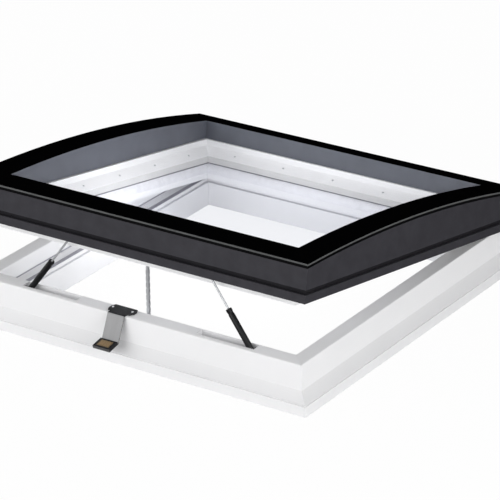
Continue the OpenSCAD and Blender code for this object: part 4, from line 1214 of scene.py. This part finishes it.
class SKYLIGHT_OT_stage(SkylightOperator, bpy.types.Operator):
    """Set up the floor, the soft lamps, the white background and the camera"""
    bl_idname = "skylight.stage"
    bl_label = "Studio"

    def execute(self, context):
        studio = context.scene.skylight_studio
        self.camera(context.scene, studio)
        self.sky(context.scene, studio)
        self.floor(studio)
        self.flag()
        for name, (spot, size) in LAMPS.items():
            self.soft_lamp(name, Vector(spot), size, getattr(studio, name.lower() + "_power"))
        self.well_lamp(studio.well_power)
        context.scene.view_settings.view_transform = "Standard"
        return {"FINISHED"}

    @staticmethod
    def camera(scene, studio):
        azimuth, elevation, roll = studio.azimuth, studio.elevation, studio.roll
        back = Vector((sin(azimuth) * cos(elevation), -cos(azimuth) * cos(elevation), sin(elevation)))
        right = Vector((cos(azimuth), sin(azimuth), 0.0))
        up = back.cross(right)
        x_axis = right * cos(roll) + up * sin(roll)
        y_axis = up * cos(roll) - right * sin(roll)
        data = bpy.data.cameras.new("Camera")
        data.lens, data.sensor_width, data.clip_end = studio.focal, SENSOR_WIDTH, VIEW_REACH
        camera = piece_from("Camera", data)
        turn = Matrix((x_axis, y_axis, back)).transposed().to_4x4()
        camera.matrix_world = Matrix.Translation(Vector(studio.target) + back * studio.distance) @ turn
        scene.camera = camera

    @staticmethod
    def seen_straight(tree, mirrored):
        """1 where the camera sees a surface itself or through glass, and in mirrors where those count."""
        path = add(tree, "ShaderNodeLightPath").outputs
        most = reckon(tree, "MAXIMUM", path["Is Camera Ray"], path["Is Transmission Ray"])
        if mirrored:
            most = reckon(tree, "MAXIMUM", most, path["Is Glossy Ray"])
        return product(tree, most, reckon(tree, "LESS_THAN", path["Diffuse Depth"], 0.5))

    def sky(self, scene, studio):
        world = bpy.data.worlds.new("Studio")
        world.use_nodes = True
        tree = world.node_tree
        tree.nodes.clear()
        even = result(tree, "ShaderNodeBackground", {"Color": WHITE_LIGHT, "Strength": studio.sky})
        white = result(tree, "ShaderNodeBackground", {"Color": WHITE_LIGHT, "Strength": 1.0})
        add(tree, "ShaderNodeOutputWorld", {
            "Surface": mixed_shader(tree, self.seen_straight(tree, True), even, white)})
        scene.world = world

    def floor(self, studio):
        material, tree = new_material("Studio floor")
        clouds = speckle(tree, 3.0)
        matt, dim = (result(tree, "ShaderNodeBsdfDiffuse", {"Color": tone(tree, clouds, rgb, swing=0.01)})
                     for rgb in (studio.floor, shade(studio.floor, FLOOR_IN_MIRRORS)))
        in_mirror = add(tree, "ShaderNodeLightPath").outputs["Is Glossy Ray"]
        plain = mixed_shader(tree, in_mirror, matt, dim)
        white = result(tree, "ShaderNodeEmission", {"Color": WHITE_LIGHT, "Strength": 1.0})
        bleached = product(tree, self.seen_straight(tree, False), FLOOR_WHITE)
        add(tree, "ShaderNodeOutputMaterial", {"Surface": mixed_shader(tree, bleached, plain, white)})
        mesh = rectangle("Floor", FLOOR_WIDTH, FLOOR_WIDTH, FLOOR_HEIGHT)
        mesh.materials.append(material)
        piece_from("Floor", mesh)

    @staticmethod
    def flag():
        """A black card behind the object that only mirrors show, so the glass doesn't veil its border."""
        mesh = rectangle("Flag", *FLAG_SIZE)
        facing = Vector((-FLAG_PLACE[0], -FLAG_PLACE[1], 0.0))
        mesh.transform(Matrix.Translation(FLAG_PLACE) @ facing.to_track_quat("Z", "Y").to_matrix().to_4x4())
        mesh.materials.append(surface("Black card", FLAG_BLACK, (0.9, 1.0), grain=300.0, depth=0.0001,
                                      Specular_IOR_Level=0.0))
        card = piece_from("Flag", mesh)
        card.visible_camera = card.visible_diffuse = card.visible_transmission = card.visible_shadow = False

    @staticmethod
    def soft_lamp(name, spot, size, power):
        """A soft rectangular lamp that looks at the object."""
        data = bpy.data.lights.new(name, "AREA")
        data.shape, data.size, data.size_y, data.energy = "RECTANGLE", size[0], size[1], power
        turn = (spot - LAMP_AIM).to_track_quat("Z", "Y").to_matrix().to_4x4()
        piece_from(name, data).matrix_world = Matrix.Translation(spot) @ turn

    @staticmethod
    def well_lamp(power):
        """A soft lamp between the glass sheets that lights the well's walls and isn't seen itself."""
        data = bpy.data.lights.new("Well", "POINT")
        data.energy, data.shadow_soft_size = power, WELL_LAMP_RADIUS
        lamp = piece_from("Well", data)
        lamp.location = WELL_LAMP_PLACE
        lamp.visible_camera = lamp.visible_glossy = lamp.visible_transmission = False


class SKYLIGHT_PT_panel(bpy.types.Panel):
    """Lists the skylight's pieces in the order they are built"""
    bl_idname = "SKYLIGHT_PT_panel"
    bl_label = "Roof skylight"
    bl_space_type = "VIEW_3D"
    bl_region_type = "UI"
    bl_category = "Skylight"

    def draw(self, context):
        for operator in OPERATORS:
            self.layout.operator(operator.bl_idname)
        for name, group in GROUPS.items():
            column = self.layout.column()
            for setting in group.__annotations__:
                column.prop(getattr(context.scene, name), setting)


OPERATORS = (SKYLIGHT_OT_frame, SKYLIGHT_OT_hinges, SKYLIGHT_OT_gas_springs, SKYLIGHT_OT_chain_opener,
             SKYLIGHT_OT_rain_sensor, SKYLIGHT_OT_cladding, SKYLIGHT_OT_glass, SKYLIGHT_OT_sash,
             SKYLIGHT_OT_stage)
GROUPS = {
    "skylight_colours": SkylightColours,
    "skylight_sizes": SkylightSizes,
    "skylight_studio": SkylightStudio,
}
CLASSES = (*GROUPS.values(), *OPERATORS, SKYLIGHT_PT_panel)


def register():
    for made in CLASSES:
        bpy.utils.register_class(made)
    for name, group in GROUPS.items():
        setattr(bpy.types.Scene, name, bpy.props.PointerProperty(type=group))


def unregister():
    for name in GROUPS:
        delattr(bpy.types.Scene, name)
    for made in reversed(CLASSES):
        bpy.utils.unregister_class(made)


def main():
    register()
    bpy.ops.skylight.frame()
    bpy.ops.skylight.hinges()
    bpy.ops.skylight.gas_springs()
    bpy.ops.skylight.chain_opener()
    bpy.ops.skylight.rain_sensor()
    bpy.ops.skylight.cladding()
    bpy.ops.skylight.glass()
    bpy.ops.skylight.sash()
    bpy.ops.skylight.stage()


if __name__ == "__main__":
    main()
